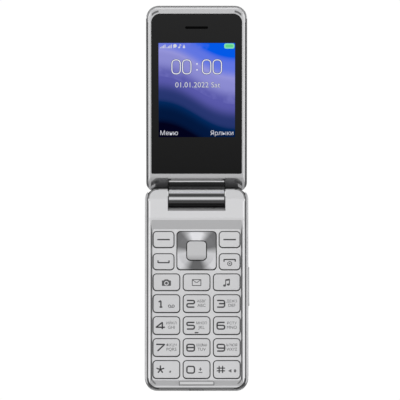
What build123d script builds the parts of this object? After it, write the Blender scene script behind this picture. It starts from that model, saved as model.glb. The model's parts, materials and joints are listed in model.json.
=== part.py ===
from build123d import *
from math import cos, radians, sin, sqrt
import os

os.makedirs("parts", exist_ok=True)

# Flip phone, lying open on its back. X is to the right, +Y runs from the base towards the lid, +Z is up.
# The origin is the centre of the base's back face. All sizes are in millimetres and degrees.

# Whole phone
base_width = 51.65
base_length = 100.5  # bottom end to the tip of the hinge shoulders
base_thickness = 10.3  # back to the rim round the keys
lid_inset = 0.62  # the lid is this much narrower on each side
lid_end_inset = 0.45  # and this much shorter
lid_thickness = 7.2
closed_gap = 0.3  # between the two faces when shut
opening_angle = 160.0
wall = 1.2  # casing walls

# Hinge
shoulder_radius = 4.6  # the base's hinge shoulders, about the hinge axis
shoulder_tip = 4.2  # flat end of the shoulders, past the axis
shoulder_width = 9.8
hinge_height = 7.4  # axis above the back
barrel_radius = 4.7
barrel_side_gap = 0.3
cradle_gap = 0.3  # round the barrel
hump_angle = 10.0  # slope from the rim up to the shoulders
running_clearance = 0.05  # radial, round the hinge pin and shaft
pin_radius = 1.25
cartridge_radius = 2.9
cartridge_length = 10.6
flex_radius = 2.4
flex_thickness = 0.3
pin_in_shoulder = 6.0
pin_in_barrel = 5.6

# Base casings
split_height = 8.3  # joint between the front and rear casings
strip_width = 1.62  # the rear casing shows this far outside the front casing
groove_width = 0.45  # round the foot of the front casing
groove_depth = 0.6
base_corner = 6.9  # plan radius at the bottom end
shoulder_corner = 4.9  # plan radius at the hinge end
rear_back_radius = 2.4
rear_top_radius = 1.0
rear_heel_radius = 6.0
rear_reach = 4.7  # past the hinge axis
cradle_reach = 0.9  # the same below the barrel
underside_wall = 0.6
seam = 0.1  # fitting clearance between fixed pieces
rim_bevel = 0.6
rim_width = 1.32  # beside the key field
rib_width = 0.8
rib_depth = 1.0
side_cavity_wall = 2.5
hinge_block = 8.0  # solid zone below the hinge axis
end_wall = 1.6
rear_corner = 4.9
notch_back = 6.8  # from the hinge axis to the notch's edge on the face

# Key field, measured from the hinge axis towards the bottom end
recess_depth = 1.1
recess_side_run = 0.8  # of its sloping side walls
recess_corner = 1.5
upper_ramp_start = 11.2
upper_ramp_run = 4.75
lower_ramp_run = 2.90
bottom_rim = 1.4
web_thickness = 0.8
field_side_margin = 1.15
field_top_margin = 1.05
field_bottom_margin = 0.85

# Keys: sizes are taken at the middle of the gap round each one
key_gap = 0.45
key_corner = 1.8
key_rise = 0.45  # above the web
key_chamfer = 0.18
flange_reach = 0.75
flange_thickness = 0.5
flange_drop = 0.1  # below the web
row_gap = 1.98
column_gap = 1.63
nav_gap = 1.4
side_key_width = 10.5
side_key_height = 8.22
side_row_gap = 3.0
icon_key_height = 8.53
centre_key_size = 9.9
centre_key_corner = 2.0
centre_key_rise = 0.3  # above the four-way key
centre_flange_reach = 0.6
nav_edge_rise = 0.1  # the four-way key above the other keys
nav_dish = 0.35
nav_flange = 0.2  # thin, so that it can rock below the web
carrier_width = 14.4
carrier_opening = 11.4
carrier_thickness = 0.3
mat_gap = 0.35

# Base inner parts
mat_thickness = 0.65
dome_sheet_thickness = 0.15
board_thickness = 0.8
board_side_gap = 1.5
board_top_start = 14.6
battery_side_room = 8.75
battery_head_room = 11.5  # for the SIM holder and the contacts
battery_thickness = 4.0
bay_wall = 2.0
bay_top_wall = 0.4
bay_clearance = 0.25
bay_start = 37.0
bay_end_room = 7.3
cover_thickness = 1.0
cover_ledge = 1.2
cover_corner = 3.0
sim_size = (27.0, 8.5, 1.5)
contacts_size = (12.0, 1.6, 3.0)
shield_size = (26.0, 15.5, 1.9)
shield_place = (4.0, 26.6)
speaker_radius = 6.5
speaker_thickness = 2.6
speaker_place = (11.5, 26.5)
speaker_slot = (9.0, 0.8)
speaker_slot_pitch = 1.9
speaker_slots = 5
motor_radius = 1.9
motor_length = 9.0
motor_side_room = 7.0
motor_station = 31.0
microphone_size = (4.0, 2.4, 1.1)
microphone_x = 13.0
microphone_end_room = 3.6
usb_size = (7.6, 5.2, 2.8)
usb_shell = 0.35
usb_tongue = 0.7
jack_radius = 1.75
jack_body = (13.0, 6.6, 4.6)
jack_collar_radius = 2.9
jack_station = 18.2
jack_height = 4.3
rocker_length = 19.4
rocker_height = 3.2
rocker_station = 44.05
rocker_centre = 4.7
rocker_proud = 0.5
rocker_gap = 0.3
rocker_flange = 0.8
rocker_flange_reach = 0.6
rocker_flange_gap = 0.35
switch_size = (1.5, 4.4, 1.9)
switch_spread = 6.0
switch_gap = 0.4
strap_station = 26.3
strap_slot_length = 3.4
strap_slot_depth = 2.6
strap_block_wall = 0.9
strap_slot_height = 3.2
strap_post_radius = 0.6
stop_pad_size = (17.2, 1.9)
stop_pad_room = 0.4  # from the end of the recess
stop_pad_seat = 0.7  # casing left below the pad
stop_pad_clearance = 0.15
screw_head_radius = 1.3
screw_head_height = 0.9
screw_radius = 0.7
screw_grip = 4.5
boss_radius = 1.7
boss_side_room = 3.2
boss_station = 11.6

# Lid casings, measured from the hinge axis along the lid
lid_split = 3.0  # joint between the inner and outer casings, below the lid's face
lid_strip = 1.13
lid_groove_width = 0.5
lid_heel = 2.6
heel_relief = 0.3  # more room over the shoulders
lid_end_radius = 2.5
lid_side_radius = 2.6
lid_split_radius = 0.6
lid_corner = 6.3
lid_hinge_corner = 4.5
lid_bevel = 0.6
scoop_start = 10.6
scoop_depth = 2.55
scoop_side_wall = 1.35
neck_start = 8.6
neck_gap = 0.7  # between the neck and the lid's casing
neck_foot = 4.6
neck_drop = 1.8
neck_waist_angle = -15.0
neck_back_angle = -109.0
neck_foot_fillet = 0.4
neck_edge_fillet = 0.5
tongue_reach = 14.5
tongue_thickness = 0.9

# Lid contents
window_thickness = 0.9
window_sink = 0.15
window_side_frame = 2.62
window_top_frame = 3.0
window_bottom = 12.1
window_corner = 4.5
window_low_corner = 0.6
screen_size = (38.3, 47.9)
screen_from_top = 38.8  # middle of the lit area, below the window's top edge
display_border = (2.2, 5.0)
display_thickness = 2.2
earpiece_from_top = 7.0
earpiece_slot = (11.4, 1.25)
earpiece_size = (12.5, 3.8, 2.4)
earpiece_mesh_thickness = 0.2
lid_board_width = 40.0
lid_board_thickness = 0.6
lid_board_start = 21.0
lid_board_end_room = 8.85
magnet_radius = 2.0
magnet_thickness = 1.2
magnet_side_room = 5.15
magnet_station = 18.5
camera_end_room = 11.85
camera_radius = 4.2
camera_glass = 0.7
camera_size = (7.0, 7.0)

# Places worked out from the sizes above
hinge_y = base_length / 2 - shoulder_tip
base_reach = base_length - shoulder_tip  # hinge axis to the bottom end
front_width = base_width - 2 * strip_width
barrel_width = front_width - 2 * (shoulder_width + barrel_side_gap)
lid_width = base_width - 2 * lid_inset
inner_width = lid_width - 2 * lid_strip
scoop_width = inner_width - 2 * scoop_side_wall
lid_face = base_thickness + closed_gap - hinge_height  # the lid's face below the axis, when open
lid_back = lid_face + lid_thickness
lid_length = base_reach - lid_end_inset
lid_split_depth = lid_face + lid_split
camera_station = lid_length - camera_end_room
lid_rise = radians(180 - opening_angle)
hump = radians(hump_angle)
hump_run = (shoulder_radius - (base_thickness - hinge_height) * cos(hump)) / sin(hump)
notch_width = barrel_width + 2 * barrel_side_gap
cradle_radius = barrel_radius + cradle_gap
cavity_width = base_width - 2 * side_cavity_wall
cavity_end = base_reach - end_wall

boss_foot = wall + screw_head_height + seam

web_top = base_thickness - recess_depth
web_bottom = web_top - web_thickness
recess_width = front_width - 2 * rim_width
ramp_foot = upper_ramp_start + upper_ramp_run
recess_end = base_reach - bottom_rim
field_end = recess_end - lower_ramp_run
field_width = recess_width - 2 * field_side_margin

flange_top = web_bottom - flange_drop
flange_bottom = flange_top - flange_thickness
mat_top = flange_bottom - mat_gap
dome_top = mat_top - mat_thickness
board_top = dome_top - dome_sheet_thickness
board_bottom = board_top - board_thickness
board_width = cavity_width - 2 * board_side_gap
bay_ceiling = board_bottom - 0.05
bay_inner_top = bay_ceiling - bay_top_wall

nav_width = field_width - 2 * (side_key_width + nav_gap)
nav_height = 2 * side_key_height + side_row_gap
nav_station = ramp_foot + field_top_margin + nav_height / 2
side_key_x = (field_width - side_key_width) / 2
soft_row = ramp_foot + field_top_margin + side_key_height / 2
call_row = soft_row + side_key_height + side_row_gap
number_key_width = (field_width - 2 * column_gap) / 3
column_pitch = number_key_width + column_gap
icon_row = nav_station + nav_height / 2 + row_gap + icon_key_height / 2
numbers_top = icon_row + icon_key_height / 2 + row_gap
number_key_height = (field_end - field_bottom_margin - numbers_top - 3 * row_gap) / 4
row_pitch = number_key_height + row_gap
first_row = numbers_top + number_key_height / 2

window_width = lid_width - 2 * window_side_frame
window_top = lid_length - window_top_frame
screen_station = window_top - screen_from_top
earpiece_station = window_top - earpiece_from_top
window_back = lid_face + window_sink + window_thickness

# Working planes, with y = 0 at the hinge axis: y falls towards the base's bottom end, rises along the lid.
hinge_point = (0, hinge_y, hinge_height)
base_plane = Plane(origin=(0, hinge_y, 0))
base_side = Plane(origin=(0, hinge_y, 0), x_dir=(0, 1, 0), z_dir=(1, 0, 0))
base_end = Plane(origin=(0, hinge_y, 0), x_dir=(1, 0, 0), z_dir=(0, -1, 0))
lid_plane = Plane(origin=hinge_point, x_dir=(1, 0, 0), z_dir=(0, -sin(lid_rise), cos(lid_rise)))
lid_side = Plane(origin=hinge_point, x_dir=lid_plane.y_dir, z_dir=(1, 0, 0))
lid_end = Plane(origin=hinge_point, x_dir=(1, 0, 0), z_dir=-lid_plane.y_dir)


def base_level(height):
    return base_plane.offset(height)


def lid_level(depth):
    return lid_plane.offset(-depth)


def finish(part, name):
    """Labels a finished piece and writes it as its own STEP file."""
    part.label = name
    export_step(part, f"parts/{name}.step")


def plan(plane, width, low, high, low_radius=0.0, high_radius=0.0, x=0.0):
    """A rectangle between two places along the phone, with its own corner radius at each end."""
    with BuildSketch(plane) as outline:
        with Locations((x, (low + high) / 2)):
            Rectangle(width, high - low)
        if low_radius:
            fillet(outline.vertices().group_by(Axis.Y)[0], low_radius)
        if high_radius:
            fillet(outline.vertices().group_by(Axis.Y)[-1], high_radius)
    return outline.sketch


def patch(plane, width, height, place=(0.0, 0.0), radius=0.0):
    """A rectangle, rounded if a radius is given, round its centre."""
    with BuildSketch(plane) as outline:
        with Locations(place):
            if radius:
                RectangleRounded(width, height, radius)
            else:
                Rectangle(width, height)
    return outline.sketch


def disc(plane, radius, *places):
    with BuildSketch(plane) as outline:
        with Locations(*places):
            Circle(radius)
    return outline.sketch


def outline_of(plane, *points):
    """A closed straight-sided outline."""
    with BuildSketch(plane) as outline:
        with BuildLine():
            Polyline(*points, close=True)
        make_face()
    return outline.sketch


def across(x):
    """A plane square to the hinge axis, with the axis at its origin."""
    return Plane(origin=(x, hinge_y, hinge_height), x_dir=(0, 1, 0), z_dir=(1, 0, 0))


def hump_height(station):
    """Height of the sloping face, or of the lid's clearance over it, at a distance from the axis."""
    return (shoulder_radius - station * sin(hump)) / cos(hump)


# ---------------------------------------------------------------- key layout

columns = (-column_pitch, 0.0, column_pitch)
keys = {
    "key_soft_left": (-side_key_x, soft_row, side_key_width, side_key_height),
    "key_soft_right": (side_key_x, soft_row, side_key_width, side_key_height),
    "key_call": (-side_key_x, call_row, side_key_width, side_key_height),
    "key_end": (side_key_x, call_row, side_key_width, side_key_height),
}
for icon, x in zip(("camera", "message", "music"), columns):
    keys[f"key_{icon}"] = (x, icon_row, number_key_width, icon_key_height)
for row, names in enumerate((("1", "2", "3"), ("4", "5", "6"), ("7", "8", "9"), ("star", "0", "hash"))):
    for number, x in zip(names, columns):
        keys[f"key_{number}"] = (x, first_row + row * row_pitch, number_key_width, number_key_height)
last_row = first_row + 3 * row_pitch

# ---------------------------------------------------------------- base casings

boss_places = [(side * (cavity_width / 2 - boss_side_room), -boss_station) for side in (-1, 1)]
pad_place = (0.0, -(recess_end - stop_pad_room - stop_pad_size[1] / 2))
pad_foot = split_height + stop_pad_seat

with BuildSketch(base_side) as front_profile:
    with BuildLine():
        slope_top = (-shoulder_radius * sin(hump), hinge_height + shoulder_radius * cos(hump))
        seat_height = split_height - hinge_height
        seat_run = sqrt(shoulder_radius**2 - seat_height**2)
        under_axis = (0, hinge_height - shoulder_radius)
        tip_foot = (shoulder_tip, hinge_height - sqrt(shoulder_radius**2 - shoulder_tip**2))
        Polyline(
            (-seat_run, split_height),
            (-base_reach, split_height),
            (-base_reach, base_thickness),
            (-hump_run, base_thickness),
            slope_top,
            (shoulder_tip, slope_top[1]),
            tip_foot,
        )
        diagonal = shoulder_radius * sqrt(0.5)
        ThreePointArc(tip_foot, (diagonal, hinge_height - diagonal), under_axis)
        ThreePointArc(under_axis, (-diagonal, hinge_height - diagonal), (-seat_run, split_height))
    make_face()

with BuildPart() as key_field:
    extrude(
        outline_of(
            base_side,
            (-upper_ramp_start, base_thickness),
            (-ramp_foot, web_top),
            (-field_end, web_top),
            (-recess_end, base_thickness),
        ),
        amount=recess_width / 2,
        both=True,
    )
    extrude(
        outline_of(
            base_end,
            (-recess_width / 2, base_thickness),
            (recess_side_run - recess_width / 2, web_top),
            (recess_width / 2 - recess_side_run, web_top),
            (recess_width / 2, base_thickness),
        ),
        amount=base_length,
        mode=Mode.INTERSECT,
    )
    fillet(key_field.edges().filter_by(lambda edge: abs((edge @ 1 - edge @ 0).Z) > seam), recess_corner)

with BuildPart() as base_front_case:
    extrude(
        plan(
            base_level(0),
            front_width,
            -base_reach,
            shoulder_tip,
            base_corner - strip_width,
            shoulder_corner,
        ),
        amount=base_thickness + shoulder_radius,
    )
    extrude(front_profile.sketch, amount=base_width, both=True, mode=Mode.INTERSECT)
    rim_face = base_front_case.faces().filter_by(Axis.Z).sort_by(Axis.Z)[-2]
    chamfer(rim_face.edges().sort_by(Axis.Y)[:-1], rim_bevel)
    shoulder_face = base_front_case.faces().filter_by(Axis.Z).sort_by(Axis.Z)[-1]
    chamfer(shoulder_face.edges().sort_by(Axis.Y)[1:], rim_bevel)
    # the recessed key field and its two ramps
    add(key_field.part, mode=Mode.SUBTRACT)
    # notch for the barrel, with a sloping back wall
    extrude(
        outline_of(
            base_side,
            (-cradle_radius, 0),
            (-cradle_radius, split_height),
            (-notch_back, hinge_height + hump_height(notch_back)),
            (-notch_back, hinge_height + 2 * shoulder_radius),
            (2 * shoulder_radius, hinge_height + 2 * shoulder_radius),
            (2 * shoulder_radius, 0),
        ),
        amount=notch_width / 2,
        both=True,
        mode=Mode.SUBTRACT,
    )
    # room for the key flanges below the web, and the rib that locates the rear casing
    extrude(
        plan(
            base_level(split_height),
            cavity_width - 2 * (seam + rib_width),
            -field_end,
            -ramp_foot,
            seam,
            seam,
        ),
        amount=web_bottom - split_height,
        mode=Mode.SUBTRACT,
    )
    for side in (-1, 1):
        extrude(
            plan(
                base_level(split_height - rib_depth),
                rib_width,
                base_corner - cavity_end,
                -ramp_foot,
                x=side * (cavity_width / 2 - seam - rib_width / 2),
            ),
            amount=rib_depth,
        )
    # screw bosses
    extrude(disc(base_level(boss_foot), boss_radius, *boss_places), amount=web_bottom + seam - boss_foot)
    extrude(disc(base_level(boss_foot), screw_radius, *boss_places), amount=screw_grip, mode=Mode.SUBTRACT)
    # seats for the hinge shaft on the left and the hinge pin on the right
    extrude(
        disc(across(-notch_width / 2 - pin_in_shoulder), pin_radius, (0, 0)),
        amount=notch_width + 2 * pin_in_shoulder,
        mode=Mode.SUBTRACT,
    )
    # openings for the keys, and the pocket of the lid's stop pad
    with BuildSketch(base_level(split_height)) as key_openings:
        for x, station, width, height in (*keys.values(), (0.0, nav_station, nav_width, nav_height)):
            with Locations((x, -station)):
                RectangleRounded(width + key_gap, height + key_gap, key_corner + key_gap / 2)
    extrude(key_openings.sketch, amount=base_thickness - split_height, mode=Mode.SUBTRACT)
    extrude(
        patch(base_level(pad_foot), stop_pad_size[0] + 2 * seam, stop_pad_size[1] + 2 * seam, pad_place),
        amount=base_thickness,
        mode=Mode.SUBTRACT,
    )
finish(base_front_case.part, "base_front_case")

with BuildSketch(base_side) as rear_profile:
    # where the 45 degree underside meets the back
    heel = (shoulder_radius + underside_wall) * sqrt(2) - hinge_height
    with BuildLine():
        Polyline(
            (-base_reach, 0),
            (-base_reach, split_height),
            (rear_reach, split_height),
            (rear_reach, rear_reach - heel),
            (heel, 0),
            close=True,
        )
    make_face()
    corners = rear_profile.vertices().group_by(Axis.Y)[0].sort_by(Axis.X)
    fillet(corners[0], rear_back_radius)
    fillet(corners[-1], rear_heel_radius)

battery_width = base_width - 2 * battery_side_room
bay_end = base_reach - bay_end_room
battery_length = bay_end - bay_start - battery_head_room
bay_width = battery_width + 2 * bay_clearance
cover_width = bay_width + 2 * cover_ledge
cover_span = (-(bay_end + cover_ledge), -(bay_start - cover_ledge))

with BuildPart() as base_rear_case:
    extrude(
        plan(base_level(0), base_width, -base_reach, rear_reach, base_corner, rear_corner),
        amount=split_height,
    )
    extrude(rear_profile.sketch, amount=base_width, both=True, mode=Mode.INTERSECT)
    extrude(
        plan(base_end, base_width, 0, split_height, rear_back_radius, rear_top_radius),
        amount=2 * base_length,
        both=True,
        mode=Mode.INTERSECT,
    )
    # seats of the shoulders, and the cradle round the barrel
    extrude(
        disc(base_side, shoulder_radius + seam / 2, (0, hinge_height)),
        amount=front_width / 2 + seam,
        both=True,
        mode=Mode.SUBTRACT,
    )
    extrude(
        disc(base_side, cradle_radius, (0, hinge_height)),
        amount=notch_width / 2,
        both=True,
        mode=Mode.SUBTRACT,
    )
    extrude(
        plan(base_level(0), notch_width, cradle_reach, 2 * rear_reach),
        amount=split_height,
        mode=Mode.SUBTRACT,
    )
    # groove round the foot of the front casing
    groove_level = base_level(split_height - groove_depth)
    extrude(
        plan(
            groove_level,
            front_width + 2 * groove_width,
            -base_reach - groove_width,
            shoulder_tip + groove_width,
            base_corner - strip_width + groove_width,
            shoulder_corner + groove_width,
        )
        - plan(
            groove_level,
            front_width,
            -base_reach,
            shoulder_tip,
            base_corner - strip_width,
            shoulder_corner,
        ),
        amount=2 * groove_depth,
        mode=Mode.SUBTRACT,
    )
    # inside, with the battery bay standing in it
    extrude(
        plan(
            base_level(wall),
            cavity_width,
            -cavity_end,
            -hinge_block,
            base_corner - side_cavity_wall,
            rib_width,
        ),
        amount=split_height,
        mode=Mode.SUBTRACT,
    )
    extrude(
        plan(base_level(0), bay_width + 2 * bay_wall, -bay_end - bay_wall, -bay_start + bay_wall),
        amount=bay_ceiling,
    )
    extrude(
        plan(
            base_level(0),
            cover_width + 2 * seam,
            cover_span[0] - seam,
            cover_span[1] + seam,
            cover_corner,
            cover_corner,
        ),
        amount=cover_thickness + seam / 2,
        mode=Mode.SUBTRACT,
    )
    extrude(
        plan(base_level(0), bay_width, -bay_end, -bay_start, rib_width, rib_width),
        amount=bay_inner_top,
        mode=Mode.SUBTRACT,
    )
    # screw pillars with recessed heads
    extrude(disc(base_level(wall / 2), boss_radius + rib_width, *boss_places), amount=boss_foot - wall / 2)
    extrude(disc(base_level(0), screw_head_radius + seam, *boss_places), amount=wall, mode=Mode.SUBTRACT)
    extrude(disc(base_level(0), screw_radius, *boss_places), amount=boss_foot, mode=Mode.SUBTRACT)
    # loudspeaker slots
    with BuildSketch(base_level(0)) as slots:
        with Locations((speaker_place[0], -speaker_place[1])):
            with GridLocations(0, speaker_slot_pitch, 1, speaker_slots):
                SlotOverall(*speaker_slot)
    extrude(slots.sketch, amount=wall, mode=Mode.SUBTRACT)
    # side openings: headset socket on the left, volume key and strap slot on the right
    extrude(
        disc(
            across(-base_width / 2),
            jack_collar_radius + seam,
            (-jack_station, jack_height - hinge_height),
        ),
        amount=side_cavity_wall,
        mode=Mode.SUBTRACT,
    )
    extrude(
        patch(
            across(cavity_width / 2),
            rocker_length + 2 * rocker_gap,
            rocker_height + 2 * rocker_gap,
            (-rocker_station, rocker_centre - hinge_height),
        ),
        amount=side_cavity_wall,
        mode=Mode.SUBTRACT,
    )
    extrude(
        patch(
            across(base_width / 2 - strap_slot_depth - strap_block_wall),
            strap_slot_length + 2 * strap_block_wall,
            strap_slot_height + 2 * strap_block_wall,
            (-strap_station, rocker_centre - hinge_height),
        ),
        amount=side_cavity_wall,
    )
    extrude(
        patch(
            across(base_width / 2 - strap_slot_depth),
            strap_slot_length,
            strap_slot_height,
            (-strap_station, rocker_centre - hinge_height),
        ),
        amount=strap_slot_depth,
        mode=Mode.SUBTRACT,
    )
    # port opening in the bottom end
    extrude(
        patch(
            base_end.offset(cavity_end),
            usb_size[0] + 2 * seam,
            usb_size[2] + 2 * seam,
            (0, board_bottom - usb_size[2] / 2),
        ),
        amount=end_wall,
        mode=Mode.SUBTRACT,
    )
finish(base_rear_case.part, "base_rear_case")

with BuildPart() as battery_cover:
    extrude(
        plan(base_level(0), cover_width, *cover_span, cover_corner, cover_corner),
        amount=cover_thickness,
    )
    with BuildSketch(base_level(0)) as thumb_notch:
        with Locations((0, cover_span[0])):
            Ellipse(cover_ledge * 4, cover_ledge)
    extrude(thumb_notch.sketch, amount=cover_thickness / 2, mode=Mode.SUBTRACT)
finish(battery_cover.part, "battery_cover")

# ---------------------------------------------------------------- base contents

battery_start = bay_end - bay_clearance - battery_length
with BuildPart() as battery:
    extrude(
        plan(
            base_level(cover_thickness + seam),
            battery_width,
            -battery_start - battery_length,
            -battery_start,
            1,
            1,
        ),
        amount=battery_thickness,
    )
finish(battery.part, "battery")

with BuildPart() as battery_contacts:
    contacts_middle = battery_start - bay_clearance - contacts_size[1] / 2
    extrude(
        patch(base_level(bay_inner_top - contacts_size[2]), *contacts_size[:2], (0, -contacts_middle)),
        amount=contacts_size[2],
    )
    with BuildSketch(base_level(bay_inner_top - contacts_size[2])) as blade_gaps:
        with Locations((0, -contacts_middle - contacts_size[1] / 2)):
            with GridLocations(contacts_size[0] / 3, 0, 2, 1):
                Rectangle(contacts_size[0] / 6, contacts_size[1])
    extrude(blade_gaps.sketch, amount=contacts_size[2] / 2, mode=Mode.SUBTRACT)
finish(battery_contacts.part, "battery_contacts")

with BuildPart() as sim_holder:
    sim_middle = bay_start + bay_clearance + sim_size[1] / 2
    extrude(
        patch(base_level(bay_inner_top - sim_size[2]), *sim_size[:2], (0, -sim_middle)),
        amount=sim_size[2],
    )
    with BuildSketch(base_level(bay_inner_top - sim_size[2])) as card_slots:
        with Locations((0, -sim_middle)):
            with GridLocations(sim_size[0] / 2, 0, 2, 1):
                Rectangle(sim_size[0] / 2 - wall, sim_size[1] - wall)
    extrude(card_slots.sketch, amount=sim_size[2] / 2, mode=Mode.SUBTRACT)
finish(sim_holder.part, "sim_holder")

jack_inner_x = -base_width / 2 + jack_body[0]
with BuildPart() as main_board:
    extrude(
        plan(
            base_level(board_bottom),
            board_width,
            -cavity_end + seam,
            -board_top_start,
            base_corner,
            rib_width,
        ),
        amount=board_thickness,
    )
    extrude(
        plan(
            base_level(board_bottom),
            jack_body[0] + rib_width,
            -jack_station - jack_body[1] / 2 - rib_width,
            -board_top_start,
            x=jack_inner_x + rib_width - (jack_body[0] + rib_width) / 2,
        ),
        amount=board_thickness,
        mode=Mode.SUBTRACT,
    )
finish(main_board.part, "main_board")

with BuildPart() as shield_can:
    extrude(
        patch(
            base_level(board_bottom - shield_size[2]),
            *shield_size[:2],
            (shield_place[0], -shield_place[1]),
            0.6,
        ),
        amount=shield_size[2],
    )
finish(shield_can.part, "shield_can")

mat_span = (-(last_row + mat_thickness * 4), -(soft_row - mat_thickness * 4))
mat_width = 2 * column_pitch + number_key_width * 0.8
with BuildPart() as dome_sheet:
    extrude(plan(base_level(board_top), mat_width, *mat_span, 1, 1), amount=dome_sheet_thickness)
finish(dome_sheet.part, "dome_sheet")

with BuildPart() as keypad_mat:
    extrude(plan(base_level(dome_top), mat_width, *mat_span, 1, 1), amount=mat_thickness)
    extrude(
        patch(base_level(dome_top), nav_width + nav_gap, nav_height + nav_gap, (0, -nav_station), 1),
        amount=mat_thickness,
        mode=Mode.SUBTRACT,
    )
finish(keypad_mat.part, "keypad_mat")

with BuildPart() as loudspeaker:
    speaker_spot = (speaker_place[0], -speaker_place[1])
    extrude(disc(base_level(wall + seam / 2), speaker_radius, speaker_spot), amount=speaker_thickness)
    extrude(
        disc(base_level(wall + seam / 2), speaker_radius - wall, speaker_spot),
        amount=speaker_thickness / 4,
        mode=Mode.SUBTRACT,
    )
finish(loudspeaker.part, "loudspeaker")

with BuildPart() as vibration_motor:
    motor_x = motor_side_room - cavity_width / 2
    motor_axis = (-motor_station, wall + seam + motor_radius - hinge_height)
    extrude(disc(across(motor_x - motor_length / 2), motor_radius, motor_axis), amount=motor_length)
    extrude(
        outline_of(
            across(motor_x + motor_length / 2),
            (motor_axis[0] - motor_radius, motor_axis[1]),
            (motor_axis[0] - motor_radius * 0.7, motor_axis[1] - motor_radius * 0.7),
            (motor_axis[0], motor_axis[1] - motor_radius * 0.9),
            (motor_axis[0] + motor_radius * 0.7, motor_axis[1] - motor_radius * 0.7),
            (motor_axis[0] + motor_radius, motor_axis[1]),
        ),
        amount=motor_length / 3,
    )
finish(vibration_motor.part, "vibration_motor")

with BuildPart() as microphone:
    extrude(
        patch(
            base_level(board_bottom - microphone_size[2]),
            *microphone_size[:2],
            (microphone_x, microphone_end_room - base_reach),
        ),
        amount=microphone_size[2],
    )
finish(microphone.part, "microphone")

with BuildPart() as usb_connector:
    usb_plane = base_end.offset(base_reach - seam / 2 - usb_size[1])
    usb_middle = (0, board_bottom - usb_size[2] / 2)
    extrude(patch(usb_plane, usb_size[0], usb_size[2], usb_middle, usb_shell * 2), amount=usb_size[1])
    extrude(
        patch(
            usb_plane.offset(wall),
            usb_size[0] - 2 * usb_shell,
            usb_size[2] - 2 * usb_shell,
            usb_middle,
            usb_shell,
        ),
        amount=usb_size[1],
        mode=Mode.SUBTRACT,
    )
    extrude(patch(usb_plane, usb_size[0] / 2, usb_tongue, usb_middle), amount=usb_size[1] - usb_tongue)
finish(usb_connector.part, "usb_connector")

with BuildPart() as audio_jack:
    jack_centre = (-jack_station, jack_height - hinge_height)
    extrude(
        patch(across(-cavity_width / 2), *jack_body[1:], jack_centre),
        amount=jack_body[0] - side_cavity_wall,
    )
    extrude(disc(across(-base_width / 2 + seam), jack_collar_radius, jack_centre), amount=side_cavity_wall)
    extrude(
        disc(across(-base_width / 2), jack_radius, jack_centre),
        amount=jack_body[0] - wall,
        mode=Mode.SUBTRACT,
    )
finish(audio_jack.part, "audio_jack")

with BuildPart() as volume_rocker:
    rocker_place = (-rocker_station, rocker_centre - hinge_height)
    flange_x = cavity_width / 2 - rocker_flange_gap - rocker_flange
    extrude(
        patch(
            across(flange_x),
            rocker_length + 2 * rocker_flange_reach,
            rocker_height + 2 * rocker_flange_reach,
            rocker_place,
        ),
        amount=rocker_flange,
    )
    extrude(
        patch(across(flange_x), rocker_length, rocker_height, rocker_place, 0.9),
        amount=base_width / 2 + rocker_proud - flange_x,
    )
    chamfer(volume_rocker.faces().sort_by(Axis.X)[-1].edges(), rocker_proud / 2)
finish(volume_rocker.part, "volume_rocker")

with BuildPart() as side_switches:
    with BuildSketch(base_level(board_bottom - switch_size[2])) as switch_pair:
        with Locations((flange_x - switch_gap - switch_size[0] / 2, -rocker_station)):
            with GridLocations(0, 2 * switch_spread, 1, 2):
                Rectangle(*switch_size[:2])
    extrude(switch_pair.sketch, amount=switch_size[2])
finish(side_switches.part, "side_switches")

with BuildPart() as strap_post:
    post_x = base_width / 2 - strap_post_radius - side_cavity_wall / 10
    extrude(
        disc(base_level(rocker_centre - strap_slot_height / 2), strap_post_radius, (post_x, -strap_station)),
        amount=strap_slot_height,
    )
finish(strap_post.part, "strap_post")

with BuildPart() as lid_stop_pad:
    extrude(
        patch(base_level(pad_foot), *stop_pad_size, pad_place, 0.4),
        amount=base_thickness + closed_gap - stop_pad_clearance - pad_foot,
    )
finish(lid_stop_pad.part, "lid_stop_pad")

with BuildPart() as base_screws:
    head_base = wall - screw_head_height
    extrude(disc(base_level(head_base), screw_head_radius, *boss_places), amount=screw_head_height)
    extrude(disc(base_level(wall), screw_radius, *boss_places), amount=screw_grip)
finish(base_screws.part, "base_screws")

# ---------------------------------------------------------------- keys

for name, (x, station, width, height) in keys.items():
    with BuildPart() as key:
        extrude(
            patch(
                base_level(flange_bottom),
                width - key_gap + 2 * flange_reach,
                height - key_gap + 2 * flange_reach,
                (x, -station),
            ),
            amount=flange_thickness,
        )
        extrude(
            patch(
                base_level(flange_bottom),
                width - key_gap,
                height - key_gap,
                (x, -station),
                key_corner - key_gap / 2,
            ),
            amount=web_top + key_rise - flange_bottom,
        )
        chamfer(key.faces().sort_by(Axis.Z)[-1].edges(), key_chamfer)
    finish(key.part, name)

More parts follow.
